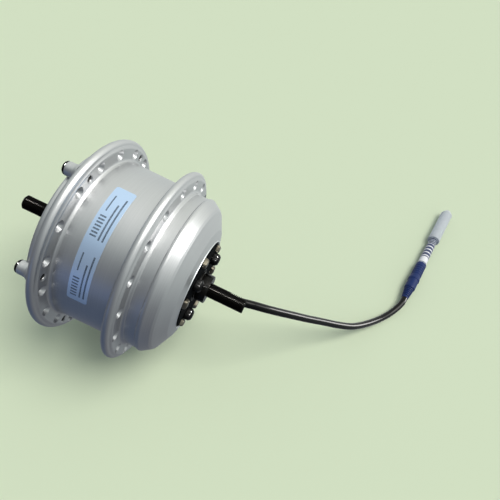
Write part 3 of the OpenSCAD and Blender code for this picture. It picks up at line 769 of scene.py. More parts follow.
@dataclass
class EndCover:
    """The cover on the far side: a dished disc with a bearing boss and six screw bosses."""

    radius: float = 57.1
    rim_h: float = 36.6
    boss_h: float = 41.0
    boss_r: float = 19.0
    gasket_h: float = 29.45
    screw_circle_r: float = 60.0
    screw_first: float = 25.8
    screw_count: int = 6
    post_r: float = 4.25
    post_h: float = 36.7
    hole_r: float = 2.2

    def outline(self) -> list[Point]:
        """The closed section.

        Returns:
            The points of the section.
        """
        r, b, g = self.radius, self.boss_r, self.gasket_h
        return rounded([
            Corner(12, self.boss_h, 0.3), Corner(b - 1, self.boss_h, 0.6), Corner(b, self.boss_h - 1, 0.6),
            Corner(b + 0.6, self.rim_h + 1.6, 0.8), Corner(b + 2, self.rim_h + 0.9, 1.0),
            Corner(r - 8, self.rim_h, 2.0), Corner(r - 1.4, self.rim_h, 0.8),
            Corner(r - 0.4, self.rim_h - 0.5, 0.6), Corner(r, self.rim_h - 1.5, 0.6),
            Corner(r, g, 0.15), Corner(51.45, g), Corner(51.45, 26.85), Corner(47.5, 26.85), Corner(47, 32.8),
            Corner(b, 33.2), Corner(b - 0.5, 32), Corner(14, 32), Corner(14, 40), Corner(12, 40)])

    def post(self, angle: float) -> bpy.types.Object:
        """One screw boss with its cast foot.

        Args:
            angle: Place on the screw circle in degrees.

        Returns:
            The boss, as a solid.
        """
        r, g = self.post_r, self.gasket_h
        outline = rounded([Corner(0, g + 0.01), Corner(r + 1.3, g + 0.01), Corner(r + 1.2, g + 0.5, 0.3),
                           Corner(r + 0.3, g + 2.2, 1.6), Corner(r, g + 4.5, 1.5),
                           Corner(r, self.post_h, 0.35), Corner(0, self.post_h)])
        return spin("post", outline, 48, about(angle, self.screw_circle_r))

    def build(self) -> list[bpy.types.Object]:
        """Turns the cover, casts the bosses onto it and drills them.

        Returns:
            The cover.
        """
        piece = spin("cover_casting", self.outline(), 256)
        angles = [self.screw_first + 360 / self.screw_count * k for k in range(self.screw_count)]
        combine(piece, [self.post(angle) for angle in angles], Join.ADD, 30.0)
        low, high = self.gasket_h - 1, self.post_h + 1
        hole = [(0, low), (self.hole_r, low), (self.hole_r, high), (0, high)]
        drills = [spin("bore", hole, 24, about(angle, self.screw_circle_r)) for angle in angles]
        combine(piece, drills, Join.CUT, 30.0)
        settle(piece, Body.SHELL, COVER_ALUMINIUM, "cover_metal", "end_cover")
        return [piece]


@dataclass
class SocketScrews:
    """A circle of alike black screws with a hexagon socket.

    Attributes:
        name: Name of the piece.
        slot: The record's material slot.
        node: The CAD node that the screws stand for.
        circle_r: Radius of their circle.
        first: Angle of the first one in degrees.
        seat_h: Height of the face under their heads.
        outwards: 1 where the heads point along +Y, and -1 along -Y.
        head_r: Radius of a head.
        head_t: Height of a head.
        crown: Width of the rounding at its top.
        socket_r: Radius of the hexagon over its corners.
        socket_depth: Depth of the hexagon.
        shank_r: Radius of the shank.
        shank_l: Length of the shank.
        count: How many there are.
        flutes: Grooves of the knurl round a head.
        flute_depth: Their depth.
    """

    name: str
    slot: str
    node: str
    circle_r: float
    first: float
    seat_h: float
    outwards: int
    head_r: float
    head_t: float
    crown: float
    socket_r: float
    socket_depth: float
    shank_r: float
    shank_l: float
    count: int = 6
    flutes: int = 0
    flute_depth: float = 0.14

    def knurl(self, piece: bpy.types.Object, centre: Point) -> None:
        """Presses the knurl's grooves into the side of a head.

        Args:
            piece: The screw.
            centre: Where it stands, in X and Z, in millimetres.
        """
        o, (x, z) = self.outwards, centre
        top = self.seat_h + o * self.head_t
        for v in piece.data.vertices:
            dx, dz = v.co.x - x * MM, v.co.z - z * MM
            h = v.co.y / MM - HUB_MIDDLE
            far = math.hypot(dx, dz)
            side = o * (h - self.seat_h) > 0.3 and o * (top - h) > self.crown
            outer = far > (self.head_r - 0.3) * MM
            if side and outer and round(math.atan2(dz, dx) * self.flutes / math.pi) % 2:
                share = 1 - self.flute_depth * MM / far
                v.co.x, v.co.z = x * MM + dx * share, z * MM + dz * share

    def head(self, angle: float, turn: float) -> bpy.types.Object:
        """One screw: head with its rounded crown, knurled side and shank.

        Args:
            angle: Place on the circle in degrees.
            turn: How far its hexagon is turned, in degrees.

        Returns:
            The screw.
        """
        o, s, r = self.outwards, self.seat_h, self.head_r
        top = s + o * self.head_t
        outline = rounded([Corner(0, top), Corner(r - self.crown, top, self.crown * 0.5),
                           Corner(r - 0.12, top - o * self.crown, self.crown * 0.5),
                           Corner(r, top - o * (self.crown + 0.2)), Corner(r, s + o * 0.35, 0.2),
                           Corner(r - 0.25, s, 0.1), Corner(self.shank_r, s),
                           Corner(self.shank_r, s - o * self.shank_l), Corner(0, s - o * self.shank_l)], 5)
        centre = about(angle, self.circle_r)
        piece = spin("head", outline, 96, centre)
        if self.flutes:
            self.knurl(piece, centre)
        turns = [math.radians(60 * k + turn) for k in range(6)]
        hexagon = [(self.socket_r * math.cos(t), self.socket_r * math.sin(t)) for t in turns]
        low, high = sorted((top + o * 1, top - o * self.socket_depth))
        combine(piece, [prism("socket", hexagon, low, high, local(angle, self.circle_r))], Join.CUT)
        return piece

    def build(self) -> list[bpy.types.Object]:
        """Makes the whole circle of screws as one piece of separate solids.

        Returns:
            The piece.
        """
        heads = [self.head(self.first + 360 / self.count * k, (37 * k) % 60) for k in range(self.count)]
        piece = joined(self.name, heads)
        eased(piece, 0.12, 50.0)
        settle(piece, Body.SHELL, BLACK_SCREW, self.slot, self.node)
        return [piece]


@dataclass
class CableEndDiscs:
    """The black mounting disc, the plated lugs that stand through it and the seal."""

    outer_r: float = 30.9
    inner_r: float = 12.0
    disc_h: float = -49.4
    plate_h: float = -46.7
    wall_h: float = -45.7
    lug_first: float = 29.0
    lug_count: int = 6
    lug_r: float = 27.7
    lug_rise: float = 4.9
    lug_half: Point = (2.6, 3.2)
    window_half: Point = (2.8, 3.4)
    screw_angles: tuple[float, ...] = (58.0, 148.0, 238.0, 328.0)
    screw_r: float = 20.5
    hole_r: float = 2.75

    def places(self) -> list[float]:
        """The angles of the lugs in degrees."""
        return [self.lug_first + 360 / self.lug_count * k for k in range(self.lug_count)]

    def disc(self) -> bpy.types.Object:
        """The black disc with its six windows and four screw holes.

        Returns:
            The disc.
        """
        outline = rounded([Corner(self.inner_r, self.plate_h), Corner(self.inner_r, self.disc_h, 0.25),
                           Corner(self.outer_r - 0.5, self.disc_h, 0.2),
                           Corner(self.outer_r - 0.5, self.disc_h + 0.5, 0.1),
                           Corner(self.outer_r, self.disc_h + 0.5, 0.15), Corner(self.outer_r, self.plate_h)])
        piece = spin("disc_black", outline, 192)
        a, b = self.window_half
        low, high = self.disc_h - 1, self.wall_h
        window = [(-a, -b), (a, -b), (a, b), (-a, b)]
        tools = [prism("window", window, low, high, local(angle, self.lug_r)) for angle in self.places()]
        hole = [(0, low), (self.hole_r, low), (self.hole_r, high), (0, high)]
        tools += [spin("hole", hole, 24, about(angle, self.screw_r)) for angle in self.screw_angles]
        combine(piece, tools, Join.CUT)
        eased(piece, 0.15, 50.0)
        return settle(piece, Body.SHELL, BLACK_COAT, "black_disc", "mount_disc")

    def lugs(self) -> bpy.types.Object:
        """The plated ring and its six lugs, cast with a draft and worn round at the top.

        Returns:
            The ring with its lugs, as one piece.
        """
        low = self.plate_h - self.lug_rise
        ring = spin("lug_plate", [(self.inner_r, self.plate_h), (self.inner_r, self.wall_h - 0.01),
                                  (self.outer_r, self.wall_h - 0.01), (self.outer_r, self.plate_h)], 192)
        # Height, share of the full width there, and how far the worn top leans inwards
        levels = [(self.wall_h - 0.5, 1.0, 0.0), (self.disc_h, 1.0, 0.0), (low + 1.6, 0.95, 0.0),
                  (low + 0.6, 0.86, 0.05), (low + 0.12, 0.70, 0.1), (low, 0.5, 0.1)]
        wide, deep = self.lug_half
        sides = 24
        lugs = []
        for angle in self.places():
            here = local(angle, self.lug_r)
            data = bmesh.new()
            rings = []
            for h, grow, lean in levels:
                rings.append([data.verts.new(Vector(here(wide * grow * a - lean, deep * grow * b, h)) * MM)
                              for a, b in self.soft_square(sides)])
            for one, two in zip(rings, rings[1:]):
                for i in range(sides):
                    j = (i + 1) % sides
                    data.faces.new([one[i], one[j], two[j], two[i]])
            data.faces.new(rings[0])
            data.faces.new(rings[-1])
            lugs.append(finished("lug", data))
        combine(ring, lugs, Join.ADD)
        ring.name = ring.data.name = "lug_ring_plated"
        return settle(ring, Body.SHELL, ZINC_PLATE, "plated_steel", "lug_ring")

    def soft_square(self, count: int) -> list[Point]:
        """A square of half width 1 with rounded corners.

        Args:
            count: How many points it gets.

        Returns:
            The points, in order.
        """
        points = []
        for k in range(count):
            a = 2 * math.pi * (k + 0.5) / count
            c, s = math.cos(a), math.sin(a)
            scale = (abs(c) ** 6 + abs(s) ** 6) ** (-1 / 6)
            points.append((c * scale, s * scale))
        return points

    def seal(self) -> bpy.types.Object:
        """The rubber lip seal between the disc and the collar.

        Returns:
            The seal.
        """
        low, high = self.disc_h, -44.1
        outline = rounded([Corner(9.96, low + 0.7, 0.2), Corner(10.8, low + 0.3, 0.3),
                           Corner(10.9, low + 1.9, 0.3), Corner(11.1, low + 1.9, 0.3),
                           Corner(11.2, low + 0.1, 0.2), Corner(11.98, low + 0.1, 0.2),
                           Corner(11.98, high), Corner(9.96, high)])
        return settle(spin("seal_cable_end", outline, 128), Body.SHELL, NITRILE, "black_rubber", "cable_seal")

    def build(self) -> list[bpy.types.Object]:
        """Makes the disc, the lugs and the seal."""
        return [self.disc(), self.lugs(), self.seal()]


# The axle and what sits on it


@dataclass
class AxleBar:
    """The steel axle: a stepped bar with two threaded ends, two flats on each, bored for the cable.

    low and high are its ends, the shoulders are where its threads stop; flat is half the width over the two
    flats, slot_l the length of the slot that lets the cable out, and turn the flats' angle in degrees.
    """

    low: float = -83.5
    high: float = 79.5
    shoulder_low: float = -57.0
    shoulder_high: float = 43.0
    thread_r: float = 6.0
    pitch: float = 1.25
    thread_depth: float = 0.85
    flat: float = 4.9
    chamfer: float = 1.2
    bore_r: float = 3.2
    bore_end: float = -33.0
    slot_l: float = 12.0
    turn: float = -30.0

    def thread_radius(self, h: float, angle: float) -> float:
        """Radius of the rounded thread at one height and angle in degrees, tapering into the end chamfers.

        Args:
            h: Height in millimetres.
            angle: Angle round the bar in degrees.

        Returns:
            The radius in millimetres.
        """
        phase = (h / self.pitch - angle / 360) % 1.0
        ridge = min(1.0, max(0.0, (abs(2 * phase - 1) - 0.12) / 0.76))
        radius = self.thread_r - self.thread_depth * (1 - ridge)
        from_end = min(h - self.low, self.high - h)
        return min(radius, self.thread_r - self.chamfer + max(0.0, from_end))

    def rings(self) -> list[tuple[float, float | None]]:
        """Heights along the bar with the plain radius there, or None where the thread gives it.

        Returns:
            Pairs of height and radius, lowest first.
        """
        per_turn = 10
        step = self.pitch / per_turn
        near_turns = int((self.shoulder_low - self.low) / step)
        far_turns = int((self.high - self.shoulder_high) / step)
        near = [self.low + step * k for k in range(near_turns)]
        far = [self.shoulder_high + step * (k + 1) for k in range(far_turns)]
        plain = [(self.shoulder_low, 5.4), (self.shoulder_low, 7.2), (self.shoulder_low + 0.3, 7.5),
                 (-37.0, 7.5), (-37.0, 8.2), (-36.7, 8.5), (-7.3, 8.5), (-7.0, 8.2), (-7.0, 6.0),
                 (self.shoulder_high, 6.0)]
        return [(h, None) for h in near] + plain + [(h, None) for h in far] + [(self.high, None)]

    def bar(self) -> bpy.types.Object:
        """The bar before it is bored.

        Returns:
            The bar.
        """
        segments = 96
        data = bmesh.new()
        here = local(self.turn, 0.0)
        rows = []
        for h, plain in self.rings():
            row = []
            for k in range(segments):
                angle = 360 * k / segments
                radius = plain if plain is not None else self.thread_radius(h, angle)
                a, b = radius * math.cos(math.radians(angle)), radius * math.sin(math.radians(angle))
                if plain is None:
                    a = max(-self.flat, min(self.flat, a))
                row.append(data.verts.new(Vector(here(a, b, h)) * MM))
            rows.append(row)
        for one, two in zip(rows, rows[1:]):
            for k in range(segments):
                j = (k + 1) % segments
                data.faces.new([one[k], one[j], two[j], two[k]])
        for row in (rows[0], rows[-1]):
            data.faces.new(row)
        return finished("axle_bar", data, 24.0)

    def build(self) -> list[bpy.types.Object]:
        """Bores the bar, opens its slot and sets it in place.

        Returns:
            The axle.
        """
        piece = self.bar()
        bore = spin("bore", rounded([Corner(0, self.low - 1), Corner(self.bore_r + 1.4, self.low - 1),
                                     Corner(self.bore_r, self.low + 0.5), Corner(self.bore_r, self.bore_end),
                                     Corner(0, self.bore_end)]), 48)
        combine(piece, [bore], Join.CUT, 24.0)
        half, out = self.bore_r - 0.1, self.thread_r + 2
        slot = prism("slot", [(0, -half), (out, -half), (out, half), (0, half)], self.low - 1,
                     self.low + self.slot_l, local(self.turn, 0.0))
        combine(piece, [slot], Join.CUT, 24.0)
        settle(piece, Body.AXLE, BLACK_OXIDE, "axle_steel", "axle")
        return [piece]


@dataclass
class AxleRings:
    """The turned rings that slide on the axle and seal its two ends, and the gasket under the cover.

    groove_low is the start of the groove round the collar, and groove its depth, in millimetres.
    """

    collar_r: float = 9.9
    collar_low: float = -57.0
    collar_high: float = -44.0
    groove_low: float = -50.9
    groove: float = 0.35

    def build(self) -> list[bpy.types.Object]:
        """Turns collar, spacer, seal and gasket.

        Returns:
            The four rings.
        """
        r, low, high, cut = self.collar_r, self.collar_low, self.collar_high, self.groove_low
        collar = spin("collar_black", rounded([
            Corner(7.52, low + 0.3, 0.2), Corner(7.9, low, 0.2), Corner(r - 0.3, low, 0.1),
            Corner(r, low + 0.3, 0.1), Corner(r, cut, 0.2), Corner(r - self.groove, cut + 0.3, 0.2),
            Corner(r - self.groove, cut + 0.8, 0.2), Corner(r, cut + 1.1, 0.2), Corner(r, high),
            Corner(7.52, high)]), 128)
        settle(collar, Body.AXLE, BLACK_OXIDE, "axle_steel", "cable_side_collar")
        spacer = spin("spacer_bright", rounded([
            Corner(6.02, 40), Corner(9, 40), Corner(9, 42.6, 0.4), Corner(8.5, 43, 0.4), Corner(6.5, 43, 0.2),
            Corner(6.02, 42.6, 0.2)]), 96)
        settle(spacer, Body.AXLE, BRIGHT_STEEL, "bright_steel", "cover_side_spacer")
        seal = spin("seal_cover_end", rounded([
            Corner(9.06, 40.5, 0.2), Corner(9.8, 40.3, 0.2), Corner(10.2, 40.6, 0.2), Corner(10.8, 41.0, 0.2),
            Corner(11.98, 41.0, 0.1), Corner(11.98, 40.05), Corner(9.06, 40.05)]), 96)
        settle(seal, Body.SHELL, NITRILE, "black_rubber", "cover_seal")
        gasket = spin("gasket_rubber", rounded([
            Corner(51.9, 28.96), Corner(57.15, 28.96, 0.15), Corner(57.2, 29.2, 0.1),
            Corner(57.15, 29.44, 0.15), Corner(51.9, 29.44)]), 192)
        settle(gasket, Body.SHELL, NITRILE, "black_rubber", "cover_gasket")
        return [collar, spacer, seal, gasket]


# The label on the drum


@dataclass(frozen=True)
class PrintedFilm(Finish):
    """White polyester film with plain generic rules and an even tick scale, and nothing to read.

    The scale's ticks are drawn coarser and wider apart than real ones, so that they still show small.

    Attributes:
        ink: sRGB hex value of the print.
        tick: Distance between two ticks in millimetres; half of it is printed.
        scales: Start and end of each tick scale along the film, in millimetres.
        scale_band: Where the scales lie across the film.
        rules: Start, end, low and high edge of each rule.
    """

    ink: str = "#1B2130"
    tick: float = 2.0
    scales: tuple[Point, ...] = ((-34.0, -20.0), (3.0, 17.0))
    scale_band: Point = (0.6, 4.4)
    rules: tuple[tuple[float, float, float, float], ...] = (
        (-34.0, -12.0, -1.9, -0.9), (-34.0, -6.0, -4.3, -3.3), (3.0, 26.0, -1.9, -0.9),
        (3.0, 31.0, -4.3, -3.3), (-17.0, -6.0, 2.6, 3.4), (20.0, 31.0, 2.6, 3.4))

    def between(self, tree: bpy.types.NodeTree, value: bpy.types.NodeSocket, low: float,
                high: float) -> bpy.types.NodeSocket:
        """1 where a value lies between two limits, and 0 elsewhere.

        Args:
            tree: The material's node tree.
            value: The value's socket.
            low: Lower limit.
            high: Upper limit.

        Returns:
            The result's socket.
        """
        above = add(tree, "Math", {0: value, 1: low}, operation="GREATER_THAN")
        below = add(tree, "Math", {0: value, 1: high}, operation="LESS_THAN")
        return add(tree, "Math", {0: above.outputs[0], 1: below.outputs[0]}, operation="MULTIPLY").outputs[0]

    def both(self, tree: bpy.types.NodeTree, one: bpy.types.NodeSocket,
             two: bpy.types.NodeSocket) -> bpy.types.NodeSocket:
        """1 where both values are 1."""
        return add(tree, "Math", {0: one, 1: two}, operation="MULTIPLY").outputs[0]

    def either(self, tree: bpy.types.NodeTree, one: bpy.types.NodeSocket,
               two: bpy.types.NodeSocket) -> bpy.types.NodeSocket:
        """1 where at least one value is 1."""
        return add(tree, "Math", {0: one, 1: two}, operation="MAXIMUM").outputs[0]

    def dress(self, tree: bpy.types.NodeTree, shader: bpy.types.Node) -> None:
        """Prints the rules and ticks, in the film's own millimetres, on its satin surface.

        Args:
            tree: The material's node tree.
            shader: Its principled shader.
        """
        place = add(tree, "UVMap", uv_map="film_mm")
        split = add(tree, "SeparateXYZ", {0: place.outputs[0]})
        along, across = split.outputs[0], split.outputs[1]
        beat = add(tree, "Math", {0: along, 1: self.tick}, operation="DIVIDE")
        part = add(tree, "Math", {0: beat.outputs[0]}, operation="FRACT")
        tick = self.between(tree, part.outputs[0], 0.0, 0.5)
        printed = None
        for start, end in self.scales:
            scale = self.both(tree, tick, self.between(tree, along, start, end))
            scale = self.both(tree, scale, self.between(tree, across, *self.scale_band))
            printed = scale if printed is None else self.either(tree, printed, scale)
        for start, end, low, high in self.rules:
            length = self.between(tree, along, start, end)
            rule = self.both(tree, length, self.between(tree, across, low, high))
            printed = self.either(tree, printed, rule)
        speck = add(tree, "TexNoise", {"Vector": place.outputs[0], "Scale": 2.2, "Detail": 3.0})
        worn = add(tree, "MapRange", {"Value": speck.outputs[0], "From Min": 0.35, "From Max": 0.6,
                                      "To Min": 0.45, "To Max": 0.9})
        ink = self.both(tree, printed, worn.outputs[0])
        ramp = add(tree, "ValToRGB", {"Fac": ink})
        ramp.color_ramp.elements[0].color = linear(self.colour)
        ramp.color_ramp.elements[1].color = linear(self.ink)
        tree.links.new(ramp.outputs[0], shader.inputs["Base Color"])
        soft = add(tree, "TexNoise", {"Vector": place.outputs[0], "Scale": 0.25, "Detail": 2.0})
        bump = add(tree, "Bump", {"Height": soft.outputs[0], "Strength": 0.25, "Distance": 0.05 * MM})
        tree.links.new(bump.outputs[0], shader.inputs["Normal"])


# Metallised polyester label film: it mirrors the light softly, as the drum does; its blue tint is painted
# reflection of bluish light from the left and below. Its print is worn, so it reads as pale grey marks
LABEL_FILM_PAINTED_BLUE = PrintedFilm("label_film_white", "#B9D0EC", 0.34, 0.65)


@dataclass
class DrumLabel:
    """The white film stuck round the drum between the flanges.

    Its length runs round the drum; turn is the angle of its middle in degrees, and film its thickness.
    """

    length: float = 75.0
    width: float = 12.5
    turn: float = -125.8
    middle_h: float = 5.0
    drum_r: float = 55.0
    film: float = 0.16
    corner: float = 1.4

    def columns(self) -> list[tuple[float, float]]:
        """Places along the film with half its width there, narrower in the rounded corners.

        Returns:
            Pairs of place and half width, in order.
        """
        half, c = self.length / 2, self.corner
        near = [0.0, 0.1, 0.3, 0.6, 1.0, c]
        steps = 60
        places = [-half + d for d in near]
        places += [-half + c + (2 * half - 2 * c) * k / steps for k in range(1, steps)]
        places += [half - d for d in reversed(near)]
        result = []
        for s in places:
            d = min(half - abs(s), c)
            result.append((s, self.width / 2 - c + math.sqrt(max(0.0, c * c - (c - d) ** 2))))
        return result

    def build(self) -> list[bpy.types.Object]:
        """Lays the film on the drum, with its own millimetres as its UV map.

        Returns:
            The label.
        """
        data = bmesh.new()
        uv = data.loops.layers.uv.new("film_mm")
        rows = 6
        sheets = []
        for radius in (self.drum_r + self.film, self.drum_r - 0.04):
            sheet = []
            for s, half in self.columns():
                angle = self.turn + math.degrees(s / self.drum_r)
                x, z = about(angle, radius)
                across = [half * (2 * k / rows - 1) for k in range(rows + 1)]
                sheet.append([(data.verts.new(Vector((x, self.middle_h + HUB_MIDDLE + y, z)) * MM), s, y)
                              for y in across])
            sheets.append(sheet)
        top, under = sheets
        last = len(top) - 1

        def face(*corners: tuple) -> None:
            """Adds one face with its places on the film.

            Args:
                *corners: Each a vertex with its place along and across the film.
            """
            made = data.faces.new([c[0] for c in corners])
            for loop, c in zip(made.loops, corners):
                loop[uv].uv = (c[1], c[2])

        for i in range(last):
            for k in range(rows):
                face(top[i][k], top[i + 1][k], top[i + 1][k + 1], top[i][k + 1])
                face(under[i][k], under[i][k + 1], under[i + 1][k + 1], under[i + 1][k])
            face(top[i][0], under[i][0], under[i + 1][0], top[i + 1][0])
            face(top[i][rows], top[i + 1][rows], under[i + 1][rows], under[i][rows])
        for k in range(rows):
            face(top[0][k], top[0][k + 1], under[0][k + 1], under[0][k])
            face(top[last][k], under[last][k], under[last][k + 1], top[last][k + 1])
        piece = finished("label_white", data, 40.0)
        settle(piece, Body.SHELL, LABEL_FILM_PAINTED_BLUE, "label_film", "drum_label")
        return [piece]


# The cable and its plug


@dataclass(frozen=True)
class StripedSleeve(Finish):
    """Sleeving with printed rings across it, even and unlettered.

    The rings stand for finer print: they are drawn coarser than real ones, so that they still show small.

    Attributes:
        second: sRGB hex value of the rings.
        period: Distance between two rings in millimetres.
        share: Part of it that a ring fills.
        start: Place along the plug's line, in millimetres, where the rings begin.
    """

    second: str = "#C9D2E2"
    period: float = 2.4
    share: float = 0.3
    start: float = 0.0

    def dress(self, tree: bpy.types.NodeTree, shader: bpy.types.Node) -> None:
        """Prints one ring in each period along the sleeve, from the mesh's own length in millimetres.

        Args:
            tree: The material's node tree.
            shader: Its principled shader.
        """
        place = add(tree, "UVMap", uv_map="length_mm")
        along = add(tree, "SeparateXYZ", {0: place.outputs[0]}).outputs[1]
        beat = add(tree, "Math", {0: along, 1: self.period}, operation="DIVIDE")
        part = add(tree, "Math", {0: beat.outputs[0]}, operation="FRACT")
        ring = add(tree, "Math", {0: part.outputs[0], 1: self.share}, operation="LESS_THAN")
        late = add(tree, "Math", {0: along, 1: self.start}, operation="GREATER_THAN")
        mask = add(tree, "Math", {0: ring.outputs[0], 1: late.outputs[0]}, operation="MULTIPLY")
        ramp = add(tree, "ValToRGB", {"Fac": mask.outputs[0]})
        ramp.color_ramp.elements[0].color = linear(self.colour)
        ramp.color_ramp.elements[1].color = linear(self.second)
        tree.links.new(ramp.outputs[0], shader.inputs["Base Color"])
        value = self.pattern(tree)
        bump = add(tree, "Bump", {"Height": value, "Strength": 0.3, "Distance": self.relief * MM})
        tree.links.new(bump.outputs[0], shader.inputs["Normal"])


@dataclass(frozen=True)
class ClearCap(Finish):
    """Thin blow-moulded cap that lets part of the light through but blurs it.

    Attributes:
        clear: Share of the light that goes through.
        bending: Index of refraction.
    """

    clear: float = 0.35
    bending: float = 1.46

    def dress(self, tree: bpy.types.NodeTree, shader: bpy.types.Node) -> None:
        """Adds the milky see-through body to the usual fine grain.

        Args:
            tree: The material's node tree.
            shader: Its principled shader.
        """
        super().dress(tree, shader)
        shader.inputs["Transmission Weight"].default_value = self.clear
        shader.inputs["IOR"].default_value = self.bending


# Dark blue polyolefin shrink sleeve with pale printed rings: smooth and half glossy
SLEEVE_FILM = StripedSleeve("printed_shrink_sleeve", "#101B3C", 0.3, coat=0.2, grain=1.0)
# White vinyl film wrapped round the sleeve: a plain white band, and dark blue rings from 62 mm on
TAG_FILM = StripedSleeve("white_wrap_tag", "#F2F4F6", 0.36, coat=0.1, second="#12285C", period=5.0, share=0.7,
                         start=62.0, grain=1.0)
# Milky polyethylene cap over the plug's pins: pale, with soft highlights and the plug dimly seen through it
CAP_CLEAR = ClearCap("milky_polyethylene", "#DDE4EA", 0.30, spread=0.02, grain=6.0)


def smooth_route(points: Sequence[Point3], steps: int) -> list[Vector]:
    """Puts points on a smooth curve through the given ones.

    Args:
        points: The route's own points.
        steps: Steps between two of them.

    Returns:
        The route with the points between.
    """
    p = [Vector(q) for q in points]
    out = []
    for i in range(len(p) - 1):
        a, b, c, d = p[max(i - 1, 0)], p[i], p[i + 1], p[min(i + 2, len(p) - 1)]
        square, cube = 2 * a - 5 * b + 4 * c - d, 3 * b - a - 3 * c + d
        for j in range(steps):
            t = j / steps
            out.append(0.5 * (2 * b + (c - a) * t + square * t * t + cube * t ** 3))
    return out + [p[-1]]


@dataclass
class MotorCable:
    """The free cable with its moulded plug, lying from the axle's end down to the floor.

    Attributes:
        radius: The cable's radius.
        route: Points of its middle line.
        plug_at: Where the cable ends and the plug's line starts.
        plug_turn: Direction of the plug's line, in degrees from X.
        boot_l: Length of the strain relief.
        boot_flare: How much wider it grows along its length.
        body_l: Length of the plug body.
        body_r: Its radius.
        sleeve_l: Length of the sleeve.
        run_in: How far the cable reaches into the plug.
    """

    radius: float = 2.95
    route: tuple[Point3, ...] = (
        (0, -64, 0), (0, -69, 0), (1.1, -75, 0.6), (2.2, -81, 1.2), (4.3, -87.3, 0.2),
        (8.3, -95.8, -3.6), (14.1, -105.2, -9.5), (21.5, -116.4, -17), (29.7, -128.4, -25.5),
        (39.5, -142.2, -35), (49.1, -156.9, -44), (59.2, -171, -52), (70.3, -182.4, -58),
        (81.4, -192.3, -62), (92, -200.9, -64.2), (102, -208, -64), (110, -212.5, -62.6),
        (116, -215, -61.3), (122, -216.2, -61))
    plug_at: Point3 = (122, -216.2, -61)
    plug_turn: float = -11.2
    boot_l: float = 14.0
    boot_flare: float = 1.45
    body_l: float = 38.0
    body_r: float = 5.2
    sleeve_l: float = 50.0
    run_in: float = 60.0

    def tube(self) -> bpy.types.Object:
        """The cable as one round curve.

        Returns:
            The cable.
        """
        points = self.line()
        curve = bpy.data.curves.new("cable_black", "CURVE")
        curve.dimensions = "3D"
        curve.bevel_depth = self.radius * MM
        curve.bevel_resolution = 6
        curve.use_fill_caps = True
        line = curve.splines.new("POLY")
        line.points.add(len(points) - 1)
        for spot, place in zip(line.points, points):
            spot.co = (*(place * MM), 1.0)
        line.use_smooth = True
        piece = bpy.data.objects.new("cable_black", curve)
        bpy.context.scene.collection.objects.link(piece)
        return piece

    def line(self) -> list[Vector]:
        """The cable's middle line in millimetres, on through the boot to the plug's wire clamp.

        Returns:
            The points of the line.
        """
        turn, steps = math.radians(self.plug_turn), 12
        along = Vector((math.cos(turn), math.sin(turn), 0))
        inside = [Vector(self.plug_at) + along * self.run_in * k / steps for k in range(1, steps + 1)]
        return smooth_route(self.route, 3) + inside

    def length(self) -> float:
        """The cable's length in millimetres."""
        points = self.line()
        return sum((b - a).length for a, b in zip(points, points[1:]))

    def laid(self, name: str, outline: Sequence[Point], segments: int = 64) -> bpy.types.Object:
        """Turns an outline, whose heights count from the cable's end, and lays it along the plug's line.

        Args:
            name: The new piece's name.
            outline: The section: radii and heights.
            segments: Sides of the round.

        Returns:
            The piece.
        """
        piece = spin(name, outline, segments)
        mesh = piece.data
        uv = mesh.uv_layers.new(name="length_mm")
        for loop in mesh.loops:
            co = mesh.vertices[loop.vertex_index].co
            uv.data[loop.index].uv = (math.atan2(co.z, co.x), co.y / MM - HUB_MIDDLE)
        to_start = Matrix.Translation(Vector((0, -HUB_MIDDLE, 0)) * MM)
        quarter = Matrix.Rotation(math.radians(self.plug_turn - 90), 4, "Z")
        mesh.transform(Matrix.Translation(Vector(self.plug_at) * MM) @ quarter @ to_start)
        return piece

    def boot(self) -> bpy.types.Object:
        """The strain relief: a soft cone cut into rings.

        Returns:
            The strain relief.
        """
        outline = [Corner(0, 0), Corner(2.9, 0, 0.3)]
        flare, length, rib_r, groove_r = self.boot_flare, self.boot_l, 3.25, 2.55
        for k in range(6):
            low, high = 0.9 + 2.1 * k, 2.3 + 2.1 * k
            outline += [Corner(rib_r + flare * low / length, low, 0.25),
                        Corner(rib_r + flare * high / length, high, 0.25),
                        Corner(groove_r + flare * high / length, high + 0.12, 0.15),
                        Corner(groove_r + flare * (high + 0.6) / length, high + 0.6, 0.15)]
        outline += [Corner(4.7, length - 0.6, 0.2), Corner(4.7, length), Corner(0, length)]
        piece = self.laid("plug_boot_ribbed", rounded(outline, 3))
        return settle(piece, Body.AXLE, PLUG_PLASTIC, "plug_blue", "plug_boot")

    def body(self) -> bpy.types.Object:
        """The moulded plug body, with its ring and finger grooves.

        Returns:
            The plug body.
        """
        r, b, e = self.body_r, self.boot_l, self.boot_l + self.body_l
        ring_r, groove_r = 5.65, 4.85
        outline = [Corner(0, b), Corner(4.9, b), Corner(r, b + 0.8, 0.5), Corner(r, b + 12, 0.3),
                   Corner(ring_r, b + 12.2, 0.2), Corner(ring_r, b + 14.8, 0.2), Corner(r, b + 15, 0.3)]
        for k in range(5):
            at = b + 19 + 3 * k
            outline += [Corner(r, at, 0.2), Corner(groove_r, at + 0.3, 0.2), Corner(groove_r, at + 1.0, 0.2),
                        Corner(r, at + 1.3, 0.2)]
        outline += [Corner(r, e - 0.6, 0.4), Corner(4.6, e, 0.3), Corner(0, e)]
        piece = self.laid("plug_body_moulded", rounded(outline, 3))
        return settle(piece, Body.AXLE, PLUG_PLASTIC, "plug_blue", "plug_body")

